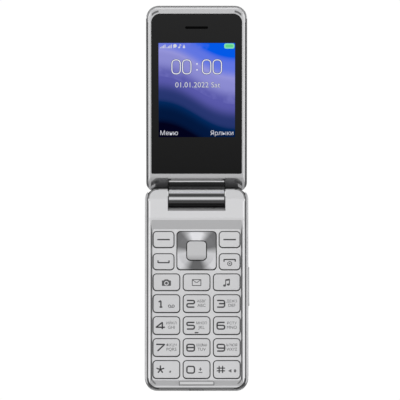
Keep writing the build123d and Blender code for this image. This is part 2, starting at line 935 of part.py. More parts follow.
nav_rim = web_top + key_rise + nav_edge_rise
centre_hole = centre_key_size + key_gap
with BuildPart() as nav_ring:
    extrude(
        patch(
            base_level(flange_bottom),
            nav_width - key_gap + 2 * flange_reach,
            nav_height - key_gap + 2 * flange_reach,
            (0, -nav_station),
            key_corner,
        ),
        amount=nav_flange,
    )
    extrude(
        patch(
            base_level(flange_bottom),
            nav_width - key_gap,
            nav_height - key_gap,
            (0, -nav_station),
            key_corner,
        ),
        amount=nav_rim - flange_bottom,
    )
    chamfer(nav_ring.faces().sort_by(Axis.Z)[-1].edges(), key_chamfer)
    # dished face
    with Locations(base_level(nav_rim - nav_dish / 2) * Location((0, -nav_station, 0))):
        Cone(centre_key_size / 2, nav_width / 2 - key_gap, nav_dish, mode=Mode.SUBTRACT)
    extrude(
        patch(
            base_level(flange_bottom),
            centre_hole,
            centre_hole,
            (0, -nav_station),
            centre_key_corner + key_gap / 2,
        ),
        amount=nav_rim,
        mode=Mode.SUBTRACT,
    )
    extrude(
        patch(
            base_level(flange_bottom),
            centre_hole + 2 * centre_flange_reach,
            centre_hole + 2 * centre_flange_reach,
            (0, -nav_station),
            centre_key_corner,
        ),
        amount=flange_thickness + 2 * flange_drop,
        mode=Mode.SUBTRACT,
    )
finish(nav_ring.part, "nav_ring")

with BuildPart() as centre_key:
    centre_body = centre_key_size - key_gap
    centre_flange = centre_body + 2 * centre_flange_reach
    extrude(
        patch(base_level(flange_bottom), centre_flange, centre_flange, (0, -nav_station), centre_key_corner),
        amount=flange_thickness - flange_drop,
    )
    extrude(
        patch(
            base_level(flange_bottom),
            centre_body,
            centre_body,
            (0, -nav_station),
            centre_key_corner - key_gap / 2,
        ),
        amount=nav_rim + centre_key_rise - nav_dish - flange_bottom,
    )
    chamfer(centre_key.faces().sort_by(Axis.Z)[-1].edges(), key_chamfer)
finish(centre_key.part, "centre_key")

with BuildPart() as nav_carrier:
    carrier_level = base_level(mat_top - carrier_thickness)
    extrude(
        patch(carrier_level, carrier_width, carrier_width, (0, -nav_station), 1),
        amount=carrier_thickness,
    )
    extrude(
        patch(carrier_level, carrier_opening, carrier_opening, (0, -nav_station), 1),
        amount=carrier_thickness,
        mode=Mode.SUBTRACT,
    )
finish(nav_carrier.part, "nav_carrier")

# ---------------------------------------------------------------- hinge

neck_top = hump_height(neck_start) + closed_gap + seam / 2
neck_bottom = lid_face + neck_drop
heel_depth = hump_height(lid_heel) + closed_gap + heel_relief

with BuildSketch(lid_side) as barrel_profile:
    waist = Vector(barrel_radius, 0).rotate(Axis.Z, neck_waist_angle)
    back = Vector(barrel_radius, 0).rotate(Axis.Z, neck_back_angle)
    with BuildLine():
        Polyline(
            (0, 0),
            (waist.X, waist.Y),
            (neck_foot, -neck_bottom),
            (neck_start, -neck_top),
            (neck_start, -lid_split_depth),
            (lid_heel + closed_gap, -lid_split_depth),
            (back.X, back.Y),
            close=True,
        )
    make_face()
    fillet(barrel_profile.vertices().sort_by_distance((neck_foot, -neck_bottom))[0], neck_foot_fillet)
    fillet(barrel_profile.vertices().sort_by_distance((neck_start, -neck_top))[0], neck_edge_fillet)
    Circle(barrel_radius)

with BuildPart() as hinge_barrel:
    extrude(barrel_profile.sketch, amount=barrel_width / 2, both=True)
    # tongue clamped inside the lid
    extrude(
        plan(
            lid_level(lid_split_depth + tongue_thickness),
            barrel_width - 2 * wall,
            lid_heel * 2 + wall,
            tongue_reach,
        ),
        amount=tongue_thickness,
    )
    extrude(
        disc(across(-barrel_width / 2), cartridge_radius + seam / 4, (0, 0)),
        amount=cartridge_length + closed_gap,
        mode=Mode.SUBTRACT,
    )
    extrude(
        disc(across(-barrel_width / 2), flex_radius + seam / 2, (0, 0)),
        amount=barrel_width - pin_in_barrel - wall,
        mode=Mode.SUBTRACT,
    )
    extrude(
        disc(across(-barrel_width / 2), pin_radius + running_clearance, (0, 0)),
        amount=barrel_width,
        mode=Mode.SUBTRACT,
    )
finish(hinge_barrel.part, "hinge_barrel")

with BuildPart() as hinge_cartridge:
    cartridge_level = across(-barrel_width / 2 + closed_gap)
    extrude(disc(cartridge_level, cartridge_radius, (0, 0)), amount=cartridge_length)
    extrude(
        disc(cartridge_level, pin_radius + running_clearance, (0, 0)),
        amount=pin_in_barrel + wall,
        mode=Mode.SUBTRACT,
    )
finish(hinge_cartridge.part, "hinge_cartridge")

with BuildPart() as hinge_shaft:
    shaft_start = -notch_width / 2 - pin_in_shoulder + seam
    extrude(disc(across(shaft_start), pin_radius, (0, 0)), amount=pin_in_shoulder + pin_in_barrel)
finish(hinge_shaft.part, "hinge_shaft")

with BuildPart() as hinge_pin:
    extrude(
        disc(across(notch_width / 2 - pin_in_barrel), pin_radius, (0, 0)),
        amount=pin_in_barrel + pin_in_shoulder - seam,
    )
finish(hinge_pin.part, "hinge_pin")

with BuildPart() as hinge_flex:
    flex_start = -barrel_width / 2 + cartridge_length + 2 * closed_gap + seam
    flex_length = barrel_width / 2 - pin_in_barrel - wall - seam - flex_start
    extrude(disc(across(flex_start), flex_radius, (0, 0)), amount=flex_length)
    extrude(
        disc(across(flex_start), flex_radius - flex_thickness, (0, 0)),
        amount=flex_length,
        mode=Mode.SUBTRACT,
    )
finish(hinge_flex.part, "hinge_flex")

# ---------------------------------------------------------------- lid casings

with BuildSketch(lid_side) as lid_profile:
    with BuildLine():
        Polyline(
            (hump_run, -lid_face),
            (lid_heel, -heel_depth),
            (lid_heel, -lid_back),
            (lid_length, -lid_back),
            (lid_length, -lid_face),
            close=True,
        )
    make_face()
    back_corners = lid_profile.vertices().group_by(Axis.Y)[0].sort_by(Axis.X)
    fillet(back_corners[0], lid_back - heel_depth - seam / 2)
    fillet(back_corners[-1], lid_end_radius)

display_size = (screen_size[0] + 2 * display_border[0], screen_size[1] + 2 * display_border[1])
display_place = (0, screen_station)
earpiece_place = (0, earpiece_station)

with BuildPart() as scoop:
    with BuildSketch(lid_side) as scoop_profile:
        scoop_foot = (lid_heel, -(lid_face + scoop_depth))
        with BuildLine():
            Spline((scoop_start, -lid_face), scoop_foot, tangents=((-1, 0), (-1, -0.25)))
            Polyline(scoop_foot, (0, scoop_foot[1]), (0, 0), (scoop_start, 0), (scoop_start, -lid_face))
        make_face()
    extrude(scoop_profile.sketch, amount=scoop_width / 2, both=True)

with BuildPart() as lid_inner_case:
    extrude(
        plan(
            lid_level(lid_split_depth),
            inner_width,
            lid_heel,
            lid_length,
            lid_hinge_corner,
            lid_corner - lid_strip,
        ),
        amount=lid_split,
    )
    extrude(lid_profile.sketch, amount=lid_width, both=True, mode=Mode.INTERSECT)
    lid_rim = lid_inner_case.faces().sort_by(Axis(hinge_point, lid_plane.z_dir))[-1].edges()
    chamfer(lid_rim.sort_by(Axis.Y)[1:], lid_bevel)
    # window recess, display and earpiece openings
    extrude(
        plan(
            lid_level(window_back),
            window_width + 2 * seam,
            window_bottom - seam,
            window_top + seam,
            window_low_corner,
            window_corner,
        ),
        amount=window_back,
        mode=Mode.SUBTRACT,
    )
    extrude(
        patch(
            lid_level(lid_split_depth),
            display_size[0] + 2 * seam,
            display_size[1] + 2 * seam,
            display_place,
        ),
        amount=lid_split,
        mode=Mode.SUBTRACT,
    )
    extrude(
        patch(
            lid_level(lid_split_depth),
            earpiece_size[0] + 2 * seam,
            earpiece_size[1] + 2 * seam,
            earpiece_place,
        ),
        amount=lid_split,
        mode=Mode.SUBTRACT,
    )
    # scoop that clears the hinge shoulders, and the gap for the barrel's neck
    add(scoop.part, mode=Mode.SUBTRACT)
    extrude(
        plan(lid_level(lid_split_depth), barrel_width + 2 * seam, 0, neck_start + neck_gap),
        amount=lid_split_depth,
        mode=Mode.SUBTRACT,
    )
finish(lid_inner_case.part, "lid_inner_case")

with BuildPart() as lid_outer_case:
    extrude(
        plan(lid_level(lid_back), lid_width, lid_heel, lid_length, lid_hinge_corner, lid_corner),
        amount=lid_back - lid_split_depth,
    )
    extrude(lid_profile.sketch, amount=lid_width, both=True, mode=Mode.INTERSECT)
    extrude(
        plan(lid_end, lid_width, -lid_back, -lid_split_depth, lid_side_radius, lid_split_radius),
        amount=2 * lid_length,
        both=True,
        mode=Mode.INTERSECT,
    )
    extrude(
        plan(
            lid_level(lid_back - wall),
            lid_width - 2 * (wall + lid_split_radius),
            2 * lid_heel + rib_width,
            lid_length - end_wall,
            1,
            lid_corner - wall,
        ),
        amount=lid_back,
        mode=Mode.SUBTRACT,
    )
    # groove round the foot of the inner casing
    extrude(
        plan(
            lid_level(lid_split_depth + groove_depth),
            inner_width + 2 * lid_groove_width,
            0,
            lid_length + lid_groove_width,
            lid_hinge_corner,
            lid_corner - lid_strip + lid_groove_width,
        )
        - plan(
            lid_level(lid_split_depth + groove_depth),
            inner_width,
            -lid_heel,
            lid_length,
            lid_hinge_corner,
            lid_corner - lid_strip,
        ),
        amount=2 * groove_depth,
        mode=Mode.SUBTRACT,
    )
    # camera opening
    extrude(
        disc(lid_level(lid_back), camera_radius + seam / 2, (0, camera_station)),
        amount=camera_glass,
        mode=Mode.SUBTRACT,
    )
    extrude(
        disc(lid_level(lid_back), camera_radius * 0.6, (0, camera_station)),
        amount=wall,
        mode=Mode.SUBTRACT,
    )
finish(lid_outer_case.part, "lid_outer_case")

# ---------------------------------------------------------------- lid contents

with BuildPart() as display_window:
    extrude(
        plan(
            lid_level(window_back - seam / 2),
            window_width,
            window_bottom,
            window_top,
            window_low_corner,
            window_corner,
        ),
        amount=window_thickness - seam / 2,
    )
    with BuildSketch(lid_level(window_back)) as slot:
        with Locations(earpiece_place):
            SlotOverall(*earpiece_slot)
    extrude(slot.sketch, amount=window_thickness, mode=Mode.SUBTRACT)
finish(display_window.part, "display_window")

with BuildPart() as earpiece_mesh:
    with BuildSketch(lid_level(window_back - seam / 2)) as strip:
        with Locations(earpiece_place):
            SlotOverall(earpiece_slot[0] - seam, earpiece_slot[1] - seam)
    extrude(strip.sketch, amount=earpiece_mesh_thickness)
finish(earpiece_mesh.part, "earpiece_mesh")

with BuildPart() as display_module:
    extrude(
        patch(lid_level(window_back + display_thickness), *display_size, display_place),
        amount=display_thickness,
    )
finish(display_module.part, "display_module")

with BuildPart() as earpiece:
    extrude(
        patch(lid_level(window_back + earpiece_size[2]), *earpiece_size[:2], earpiece_place, 1),
        amount=earpiece_size[2],
    )
finish(earpiece.part, "earpiece")

board_depth = window_back + max(display_thickness, earpiece_size[2]) + seam / 2
with BuildPart() as lid_board:
    extrude(
        plan(
            lid_level(board_depth + lid_board_thickness),
            lid_board_width,
            lid_board_start,
            lid_length - lid_board_end_room,
            1,
            1,
        ),
        amount=lid_board_thickness,
    )
finish(lid_board.part, "lid_board")

magnet_place = (inner_width / 2 - magnet_side_room, magnet_station)
with BuildPart() as lid_magnet:
    extrude(
        disc(lid_level(lid_split_depth + magnet_thickness), magnet_radius, magnet_place),
        amount=magnet_thickness,
    )
finish(lid_magnet.part, "lid_magnet")

with BuildPart() as camera_module:
    camera_depth = board_depth + lid_board_thickness
    extrude(
        patch(lid_level(lid_back - wall - seam / 2), *camera_size, (0, camera_station)),
        amount=lid_back - wall - seam / 2 - camera_depth,
    )
    extrude(
        disc(lid_level(lid_back - camera_glass - seam / 2), camera_radius * 0.6 - seam, (0, camera_station)),
        amount=wall,
    )
finish(camera_module.part, "camera_module")

with BuildPart() as camera_window:
    extrude(disc(lid_level(lid_back), camera_radius, (0, camera_station)), amount=camera_glass - seam / 4)
finish(camera_window.part, "camera_window")
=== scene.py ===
from math import cos, pi, radians, sin

import bmesh
import bpy
from mathutils import Matrix, Vector
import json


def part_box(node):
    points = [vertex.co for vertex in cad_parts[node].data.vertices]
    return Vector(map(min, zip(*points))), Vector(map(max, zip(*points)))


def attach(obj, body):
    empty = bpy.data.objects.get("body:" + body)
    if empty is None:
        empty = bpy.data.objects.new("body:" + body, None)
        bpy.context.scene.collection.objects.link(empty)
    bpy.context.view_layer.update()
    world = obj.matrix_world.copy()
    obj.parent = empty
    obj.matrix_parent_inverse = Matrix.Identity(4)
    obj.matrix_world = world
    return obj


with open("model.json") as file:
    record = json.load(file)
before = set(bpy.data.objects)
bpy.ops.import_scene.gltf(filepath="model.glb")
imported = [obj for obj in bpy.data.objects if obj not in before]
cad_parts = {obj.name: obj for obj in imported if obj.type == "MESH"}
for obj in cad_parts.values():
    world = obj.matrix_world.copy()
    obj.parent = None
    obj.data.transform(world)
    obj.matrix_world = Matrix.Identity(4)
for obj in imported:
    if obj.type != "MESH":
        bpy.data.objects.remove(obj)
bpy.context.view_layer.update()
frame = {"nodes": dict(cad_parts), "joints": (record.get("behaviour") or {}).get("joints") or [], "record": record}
nodes = frame["nodes"]
mm = 0.001

# The two halves' own frames: x across, y from the hinge (towards the lid's far end), z up out of the faces.
hinge = Vector(frame["joints"][0]["pos_m"])
lidTilt = radians(20)
baseFrame = Matrix.Translation((0, hinge.y, 0))
lidFrame = Matrix.Translation(hinge) @ Matrix.Rotation(lidTilt, 4, "X")
print("frame loaded:", len(nodes), "nodes")


# Shader maths: a wrapped socket, so that a mask reads as a sum.

class Value:
    def __init__(self, paint, socket):
        self.paint = paint
        self.socket = socket

    def maths(self, operation, first, second=0.0):
        return self.paint.node("ShaderNodeMath", {"operation": operation}, {0: first, 1: second})

    def __add__(self, other):
        return self.maths("ADD", self, other)

    __radd__ = __add__

    def __sub__(self, other):
        return self.maths("SUBTRACT", self, other)

    def __rsub__(self, other):
        return self.maths("SUBTRACT", other, self)

    def __mul__(self, other):
        return self.maths("MULTIPLY", self, other)

    __rmul__ = __mul__

    def __truediv__(self, other):
        return self.maths("DIVIDE", self, other)

    def __pow__(self, other):
        return self.maths("POWER", self, other)

    def below(self, other):
        return self.maths("LESS_THAN", self, other)

    def above(self, other):
        return self.maths("GREATER_THAN", self, other)

    def size(self):
        return self.maths("ABSOLUTE", self)

    def greater(self, other):
        return self.maths("MAXIMUM", self, other)

    def lesser(self, other):
        return self.maths("MINIMUM", self, other)

    def exponent(self):
        return self.maths("EXPONENT", self)

    def sine(self):
        return self.maths("SINE", self)

    def cosine(self):
        return self.maths("COSINE", self)

    def turnFrom(self, other):
        # the angle whose tangent is self / other
        return self.maths("ARCTAN2", self, other)

    def eased(self, start, length):
        # 0 up to start and 1 past start + length, both in millimetres
        return ((self - start * mm) / (length * mm)).greater(0).lesser(1)


class Paint:
    def __init__(self, name, **constants):
        self.material = bpy.data.materials.new(name)
        self.material.use_nodes = True
        self.tree = self.material.node_tree
        self.shader = self.tree.nodes["Principled BSDF"]
        self.set(**constants)

    def plug(self, socket, given):
        if isinstance(given, Value):
            self.tree.links.new(given.socket, socket)
        elif given is not None:
            socket.default_value = given

    def node(self, kind, settings=None, sockets=None, out=0):
        made = self.tree.nodes.new(kind)
        for key, given in (settings or {}).items():
            if key == "stops":
                while len(made.color_ramp.elements) < len(given):
                    made.color_ramp.elements.new(1)
                for element, (place, colour) in zip(made.color_ramp.elements, given):
                    element.position = place
                    element.color = (*colour, 1)
            else:
                setattr(made, key, given)
        for key, given in (sockets or {}).items():
            self.plug(made.inputs[key], given)
        return Value(self, made.outputs[out])

    def set(self, **sockets):
        for key, given in sockets.items():
            self.plug(self.shader.inputs[key.replace("_", " ")], given)

    def place(self, where=(0, 0, 0), turn=0.0, stretch=(1, 1, 1)):
        spot = self.node("ShaderNodeTexCoord", out=3)
        return self.node("ShaderNodeMapping", {"vector_type": "TEXTURE"},
                         {0: spot, 1: where, 2: (turn, 0, 0), 3: stretch})

    def parts(self, spot):
        split = self.tree.nodes.new("ShaderNodeSeparateXYZ")
        self.plug(split.inputs[0], spot)
        return [Value(self, output) for output in split.outputs]

    def noise(self, spot, scale, detail=2.0, rough=0.5):
        return self.node("ShaderNodeTexNoise", None,
                         {"Vector": spot, "Scale": scale, "Detail": detail, "Roughness": rough})

    def blend(self, mask, first, second):
        return self.node("ShaderNodeMix", {"data_type": "RGBA"}, {0: mask, 6: first, 7: second}, out=2)

    def choose(self, mask, first, second):
        return self.node("ShaderNodeMix", {"data_type": "FLOAT"}, {0: mask, 2: first, 3: second})

    def ramp(self, mask, *stops):
        return self.node("ShaderNodeValToRGB", {"stops": stops}, {0: mask})

    def bump(self, height, strength, distance):
        return self.node("ShaderNodeBump", None,
                         {"Height": height, "Strength": strength, "Distance": distance * mm})


def grey(level):
    return (level, level, level * 1.012, 1)


def middleOf(name):
    low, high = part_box(name)
    return (low + high) / 2


# Finishes.

silver = {"level": 0.75, "metal": 0.45, "rough": 0.30, "flake": 9000}

# The grooves where two shells meet, in millimetres in each half's own frame: how far across, how high, and how
# strong the painted shade in them is.
parting = {"x": 24.67, "rear": (7.6, 8.29), "front": (8.3, 8.7), "outer": (-6.9, -6.21),
           "inner": (-6.19, -5.8), "dark": 0.85}

# The rounded outer corners' painted dark reflection streaks: the arc's centre across and away from the hinge, the
# radii each streak lies between, and the distances across at which they start and end.
arcs = {"baseEnd": (18.92, 91.02, 4.7, 6.3, 18.6, 24.3), "fieldEnd": (18.92, 91.02, 2.6, 3.6, 20.3, 22.7),
        "lidEnd": (18.2, 88.6, 4.85, 6.1, 18.9, 22.3)}
arcSoft = 0.3


def within(value, low, high):
    return value.above(low * mm) * value.below(high * mm)


def arc(name, x, away):
    across, along, low, high, near, far = arcs[name]
    right, out = x.size() - across * mm, away - along * mm
    radius = (right * right + out * out) ** 0.5
    band = ((radius - low * mm).lesser(high * mm - radius) / (arcSoft * mm)).greater(0).lesser(1)
    return band * within(x.size(), near, far) * out.above(0)


def silverPaint(name, half, shade, level=silver["level"], rough=silver["rough"], metal=silver["metal"]):
    # half: the object's own frame; shade: gives the painted shade's mask, how metallic, the painted shade's tone
    # and the painted highlight's mask
    paint = Paint(name, Coat_Roughness=0.10, Coat_Weight=0.15)
    spot = paint.place()
    flakes = paint.noise(spot, silver["flake"], 1)
    clouds = paint.noise(spot, 60, 3)
    tone = flakes * 0.10 + clouds * 0.03 + 0.435
    colour = paint.blend(tone, grey(level * 0.94), grey(level * 1.06))
    here = paint.place(tuple(hinge), lidTilt) if half == "lid" else paint.place((0, hinge.y, 0))
    dark, metallic, tint, pale = shade(paint, *paint.parts(here), metal)
    paint.set(
        Base_Color=paint.blend(dark, paint.blend(pale, colour, grey(0.95)), grey(tint)),
        Metallic=metallic,
        Roughness=flakes * 0.06 + clouds * 0.02 + (rough - 0.04),
        Normal=paint.bump(flakes, 0.02, 0.003),
    )
    return paint.material


# Painted shades and painted highlights, in millimetres in each half's own frame, and how strong each one is. First
# the key field, the hinge end's shoulders and the base's outer edges.
field = {"x": 22.92, "start": -11.15, "end": -95.0, "web": 9.22, "rim": 10.27, "gap": 9.17, "corner": 1.5,
         "wallFoot": 22.0, "wallSlope": 0.773, "wallBase": 9.2, "wallDark": 0.76, "dark": 0.32,
         "endFrom": -80, "endLess": 0.27, "arcDark": 0.65, "crestEnd": -9.9, "crestPale": 0.4,
         "webPale": 0.3, "webHinge": 0.4, "webFrom": -45, "webOver": 20}
shoulder = {"x": 19, "y": -0.8, "top": 11.93, "dark": 0.75, "paleFrom": -0.95, "paleOver": 0.4,
            "paleFoot": 9.0, "pale": 0.42}
brim = {"x": 23.9, "foot": 9.4, "start": -2, "dark": 0.6, "end": -95.75, "endFoot": 8.7, "endDark": 0.62,
        "bevel": 23.1, "bevelFoot": 9.65, "arcFoot": 9.5}


def frontShade(paint, x, y, z, metal):
    # painted shade in the key openings and the parting groove, on the ramp and side walls, at the shoulders'
    # corners, along the outer edges and the far end, and painted dark reflection streaks at the rounded corners
    width = x.size()
    keypad = width.below(field["x"] * mm) * within(y, field["end"], field["start"])
    roundX = (width - (field["x"] - field["corner"]) * mm).greater(0)
    roundY = (y - (field["start"] - field["corner"]) * mm).greater(0)
    past = (roundX * roundX + roundY * roundY).above((field["corner"] * mm) ** 2)
    slopes = keypad * within(z, field["web"], field["rim"]) * (1 - past)
    side = width - (z - field["wallBase"] * mm) * field["wallSlope"]
    walls = slopes * side.above(field["wallFoot"] * mm) * field["wallDark"]
    # painted shade in the key openings and the parting groove
    gapShade = (keypad * z.below(field["gap"] * mm)).greater(within(z, *parting["front"]) * parting["dark"])
    ramps = slopes * (field["dark"] - y.below(field["endFrom"] * mm) * field["endLess"])
    corners = y.above(shoulder["y"] * mm) * z.below(shoulder["top"] * mm) * width.above(shoulder["x"] * mm)
    sides = width.above(brim["x"] * mm) * z.above(brim["foot"] * mm) * y.below(brim["start"] * mm)
    foot = y.below(brim["end"] * mm) * z.above(brim["endFoot"] * mm)
    dark = gapShade.greater(ramps).greater(walls).greater(corners * shoulder["dark"])
    dark = dark.greater(sides * brim["dark"]).greater(foot * brim["endDark"])
    away = y * -1
    dark = dark.greater(arc("baseEnd", x, away) * z.above(brim["arcFoot"] * mm))
    dark = dark.greater(arc("fieldEnd", x, away) * slopes * field["arcDark"])
    # painted highlights: the bevel, the shoulders' ends, the web between the keys and the crest above the ramp
    bevel = within(width, brim["bevel"], brim["x"]) * z.above(brim["bevelFoot"] * mm) * \
        y.below(brim["start"] * mm)
    shoulders = y.eased(shoulder["paleFrom"], shoulder["paleOver"]) * z.above(shoulder["paleFoot"] * mm)
    web = keypad * within(z, field["gap"], field["web"]) * \
        (y.eased(field["webFrom"], field["webOver"]) * field["webHinge"] + field["webPale"])
    crest = within(y, field["start"], field["crestEnd"]) * z.above(field["rim"] * mm) * field["crestPale"]
    return dark, metal, 0.03, bevel.greater(shoulders * shoulder["pale"]).greater(web).greater(crest)


rear = {"end": -95.3, "endFoot": 7.4, "endDark": 0.75, "endLow": 1, "endTop": 6.7, "endPale": 0.85,
        "arcFoot": 7, "arcDark": 0.7, "paleFoot": 6.9, "pale": 0.25}


def rearShade(paint, x, y, z, metal):
    # painted shade in the parting groove and along the far end's upper edge, a painted dark reflection streak at
    # the rounded corners, and painted highlights on the top and across the far end's middle
    end = y.below(rear["end"] * mm)
    groove = x.size().below(parting["x"] * mm) * within(z, *parting["rear"]) * parting["dark"]
    dark = groove.greater(end * z.above(rear["endFoot"] * mm) * rear["endDark"])
    dark = dark.greater(arc("baseEnd", x, y * -1) * z.above(rear["arcFoot"] * mm) * rear["arcDark"])
    pale = z.above(rear["paleFoot"] * mm) * rear["pale"]
    return dark, metal, 0.02, pale.greater(end * within(z, rear["endLow"], rear["endTop"]) * rear["endPale"])


scoop = {"x": 22.85, "end": 10.72, "fade": 1.05, "face": -3.22, "curveFrom": 17.5, "curve": 90, "neck": 14.3,
         "neckEnd": 9.6, "neckDark": 0.75, "lipSlope": 0.68, "lip": 20.2, "lipHalf": 1.0, "lipSoft": 0.4,
         "lipX": 20.7}
lidRim = {"x": 22.9, "pale": 0.25, "end": 95.2, "endPale": 0.7}


def innerShade(paint, x, y, z, metal):
    # painted shade and painted dark reflection in the scoop by the hinge, which is also more metallic there; at
    # its outer ends the painted shade stops in a lighter wedge
    width = x.size()
    beyond = (width - scoop["curveFrom"] * mm).greater(0)
    middle = width.below(scoop["neck"] * mm)
    depth = (y + beyond * beyond * scoop["curve"] - scoop["end"] * mm).lesser(0) / (scoop["fade"] * mm)
    basin = paint.choose(middle, 1 - depth.exponent(), y.below(scoop["neckEnd"] * mm) * scoop["neckDark"])
    basin = basin * width.below(scoop["x"] * mm) * z.below(scoop["face"] * mm)
    past = y + width * scoop["lipSlope"] - scoop["lip"] * mm
    lip = (past.size() * -1 + scoop["lipHalf"] * mm) / (scoop["lipSoft"] * mm)
    basin = basin * (1 - (lip * width.above(scoop["lipX"] * mm)).greater(0).lesser(1))
    # a painted dark reflection streak round the top corners, painted shade in the parting groove, and painted
    # highlights on the outer edges
    rim = width.above(lidRim["x"] * mm) * lidRim["pale"]
    rim = rim.greater(y.above(lidRim["end"] * mm) * lidRim["endPale"])
    dark = basin.greater(within(z, *parting["inner"])).greater(arc("lidEnd", x, y))
    return dark, basin * (1 - metal) + metal, 0.19, rim


shell = {"x": 23.9, "foot": -6.6, "end": 90, "roundX": 19, "roundEnd": 88, "less": 0.6, "paleFoot": -7,
         "pale": 0.5}


def outerShade(paint, x, y, z, metal):
    # painted shade in the parting groove and along the outer edges, and a painted highlight on the rounded top
    # corners, where the groove's shade is weaker
    low, high = parting["outer"]
    edge = x.size().above(shell["x"] * mm) * within(z, shell["foot"], high) * y.below(shell["end"] * mm)
    rounded = y.above(shell["roundEnd"] * mm) * x.size().above(shell["roundX"] * mm)
    groove = x.size().below(parting["x"] * mm) * within(z, low, high) * (1 - rounded * shell["less"])
    return groove.greater(edge), metal, 0.14, rounded * within(z, shell["paleFoot"], high) * shell["pale"]


keyTop = {"skirt": 9.5, "from": -48, "over": 30, "pale": 0.35}


def skirtShade(paint, x, y, z, metal):
    # painted shade on the sides, and a painted highlight that grows towards the hinge
    top = y.eased(keyTop["from"], keyTop["over"]) * keyTop["pale"]
    return z.below(keyTop["skirt"] * mm), metal, 0.03, top


centre = {"node": "centre_key", "fade": 3.4, "skirt": 9.3, "x": 4.7, "dark": 0.45}


def centreShade(paint, x, y, z, metal):
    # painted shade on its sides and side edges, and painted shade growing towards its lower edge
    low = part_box(centre["node"])[0]
    down = (y * -1 + (low.y - hinge.y + centre["fade"] * mm)) / (centre["fade"] * mm)
    sides = z.below(centre["skirt"] * mm).greater(x.size().above(centre["x"] * mm))
    return sides.greater(down.greater(0) * centre["dark"]), metal, 0.03, 0


def moulded(name, colour, rough=0.5, metal=0.0, grain=1500, depth=0.01, coat=0.0, shine=0.5):
    paint = Paint(name, Metallic=metal, Coat_Weight=coat, Specular_IOR_Level=shine)
    spot = paint.place()
    fine = paint.noise(spot, grain, 3)
    broad = paint.noise(spot, 90, 2)
    darker = tuple(0.88 * part for part in colour) + (1,)
    lighter = tuple(min(1, 1.10 * part) for part in colour) + (1,)
    paint.set(
        Base_Color=paint.blend(fine * 0.5 + broad * 0.5, darker, lighter),
        Roughness=fine * 0.12 + (rough - 0.06),
        Normal=paint.bump(fine, 0.25, depth),
    )
    return paint.material


# The hinge barrel's painted highlight band and painted shade, in degrees from straight up and millimetres, and the
# chrome neck beside it with its painted highlight edge and painted dark slope.
barrel = {"from": 33.0, "to": 58.0, "reach": 5.0, "under": -40.0, "tipX": 13.8, "tipFrom": -20}
neck = {"foot": 4.75, "edge": 7.75, "top": 8.45, "low": 0.10, "high": 0.42}


def darkChrome():
    # mirror-like, with a painted highlight band along the barrel and on the neck's top edge, also rougher and less
    # metallic there, and painted shade under the barrel, at its ends and on the neck's slope
    paint = Paint("darkChrome")
    x, y, z = paint.parts(paint.place(tuple(hinge)))
    angle = y.turnFrom(z)
    band = angle.above(radians(barrel["from"])) * angle.below(radians(barrel["to"])) * \
        (y * y + z * z).below((barrel["reach"] * mm) ** 2)
    haze = paint.noise(paint.place(stretch=(8, 1, 1)), 700, 3)
    along = paint.parts(paint.place(tuple(hinge), lidTilt))[1]
    edge = along.above(neck["edge"] * mm) * along.below(neck["top"] * mm)
    slope = along.above(neck["foot"] * mm) * (1 - edge)
    # painted shade under the barrel and at its ends, where it meets the shoulders
    under = angle.below(radians(barrel["under"])) * along.below(0)
    brightBand = band.greater(edge)
    tips = x.size().above(barrel["tipX"] * mm) * angle.above(radians(barrel["tipFrom"]))
    bright = paint.blend(brightBand, paint.blend(haze, grey(0.68), grey(0.70)), grey(0.95))
    # painted dark reflection on the neck's slope, lighter towards its top edge
    rise = (along - neck["foot"] * mm) / ((neck["edge"] - neck["foot"]) * mm)
    sloped = paint.blend(rise, grey(neck["low"]), grey(neck["high"]))
    paint.set(
        Base_Color=paint.blend(under.greater(tips), paint.blend(slope, bright, sloped), grey(0.04)),
        Metallic=1 - brightBand * 0.65,
        Roughness=haze * 0.02 + 0.11 + brightBand * 0.2,
    )
    return paint.material


def glossBlack(name, level):
    paint = Paint(name, Specular_IOR_Level=0.35)
    haze = paint.noise(paint.place(), 300, 2)
    paint.set(
        Base_Color=paint.blend(haze, grey(level * 0.95), grey(level * 1.05)),
        Roughness=haze * 0.03 + 0.06,
    )
    return paint.material


# The navigation ring, in millimetres: painted shade below skirt and past reach, and a painted reflection of bright
# and dark fans with their count, tones and contrast.
navKey = {"node": "nav_ring", "skirt": 9.42, "reach": 9.72, "fans": 3, "dark": 0.25, "bright": 1.0,
          "contrast": 0.8}


def brushedRound():
    middle = middleOf(navKey["node"])
    paint = Paint("brushedRound", Metallic=0.6)
    x, y, z = paint.parts(paint.place((middle.x, middle.y, 0), stretch=(mm, mm, mm)))
    angle = x.turnFrom(y)
    rays = paint.node("ShaderNodeTexNoise", {"noise_dimensions": "1D"},
                      {"W": angle * 40, "Scale": 1.0, "Detail": 4.0})
    # painted reflection: bright and dark fans round its middle, as circularly brushed metal shows them; the radial
    # rays are its brushing
    share = ((angle * navKey["fans"]).cosine() * navKey["contrast"] + 0.5).greater(0).lesser(1)
    lobes = paint.blend(share, grey(navKey["dark"]), grey(navKey["bright"]))
    brushingAndSheen = paint.node("ShaderNodeMix", {"data_type": "RGBA", "blend_type": "MULTIPLY"},
                        {0: 1.0, 6: lobes, 7: paint.blend(rays, grey(0.90), grey(1.0))}, out=2)
    # painted shade on its sides
    sides = z.below(navKey["skirt"]).greater(x.size().above(navKey["reach"]))
    paint.set(Base_Color=paint.blend(sides, brushingAndSheen, grey(0.03)), Roughness=rays * 0.10 + 0.26)
    return paint.material


pad = {"node": "lid_stop_pad", "edge": 0.32}


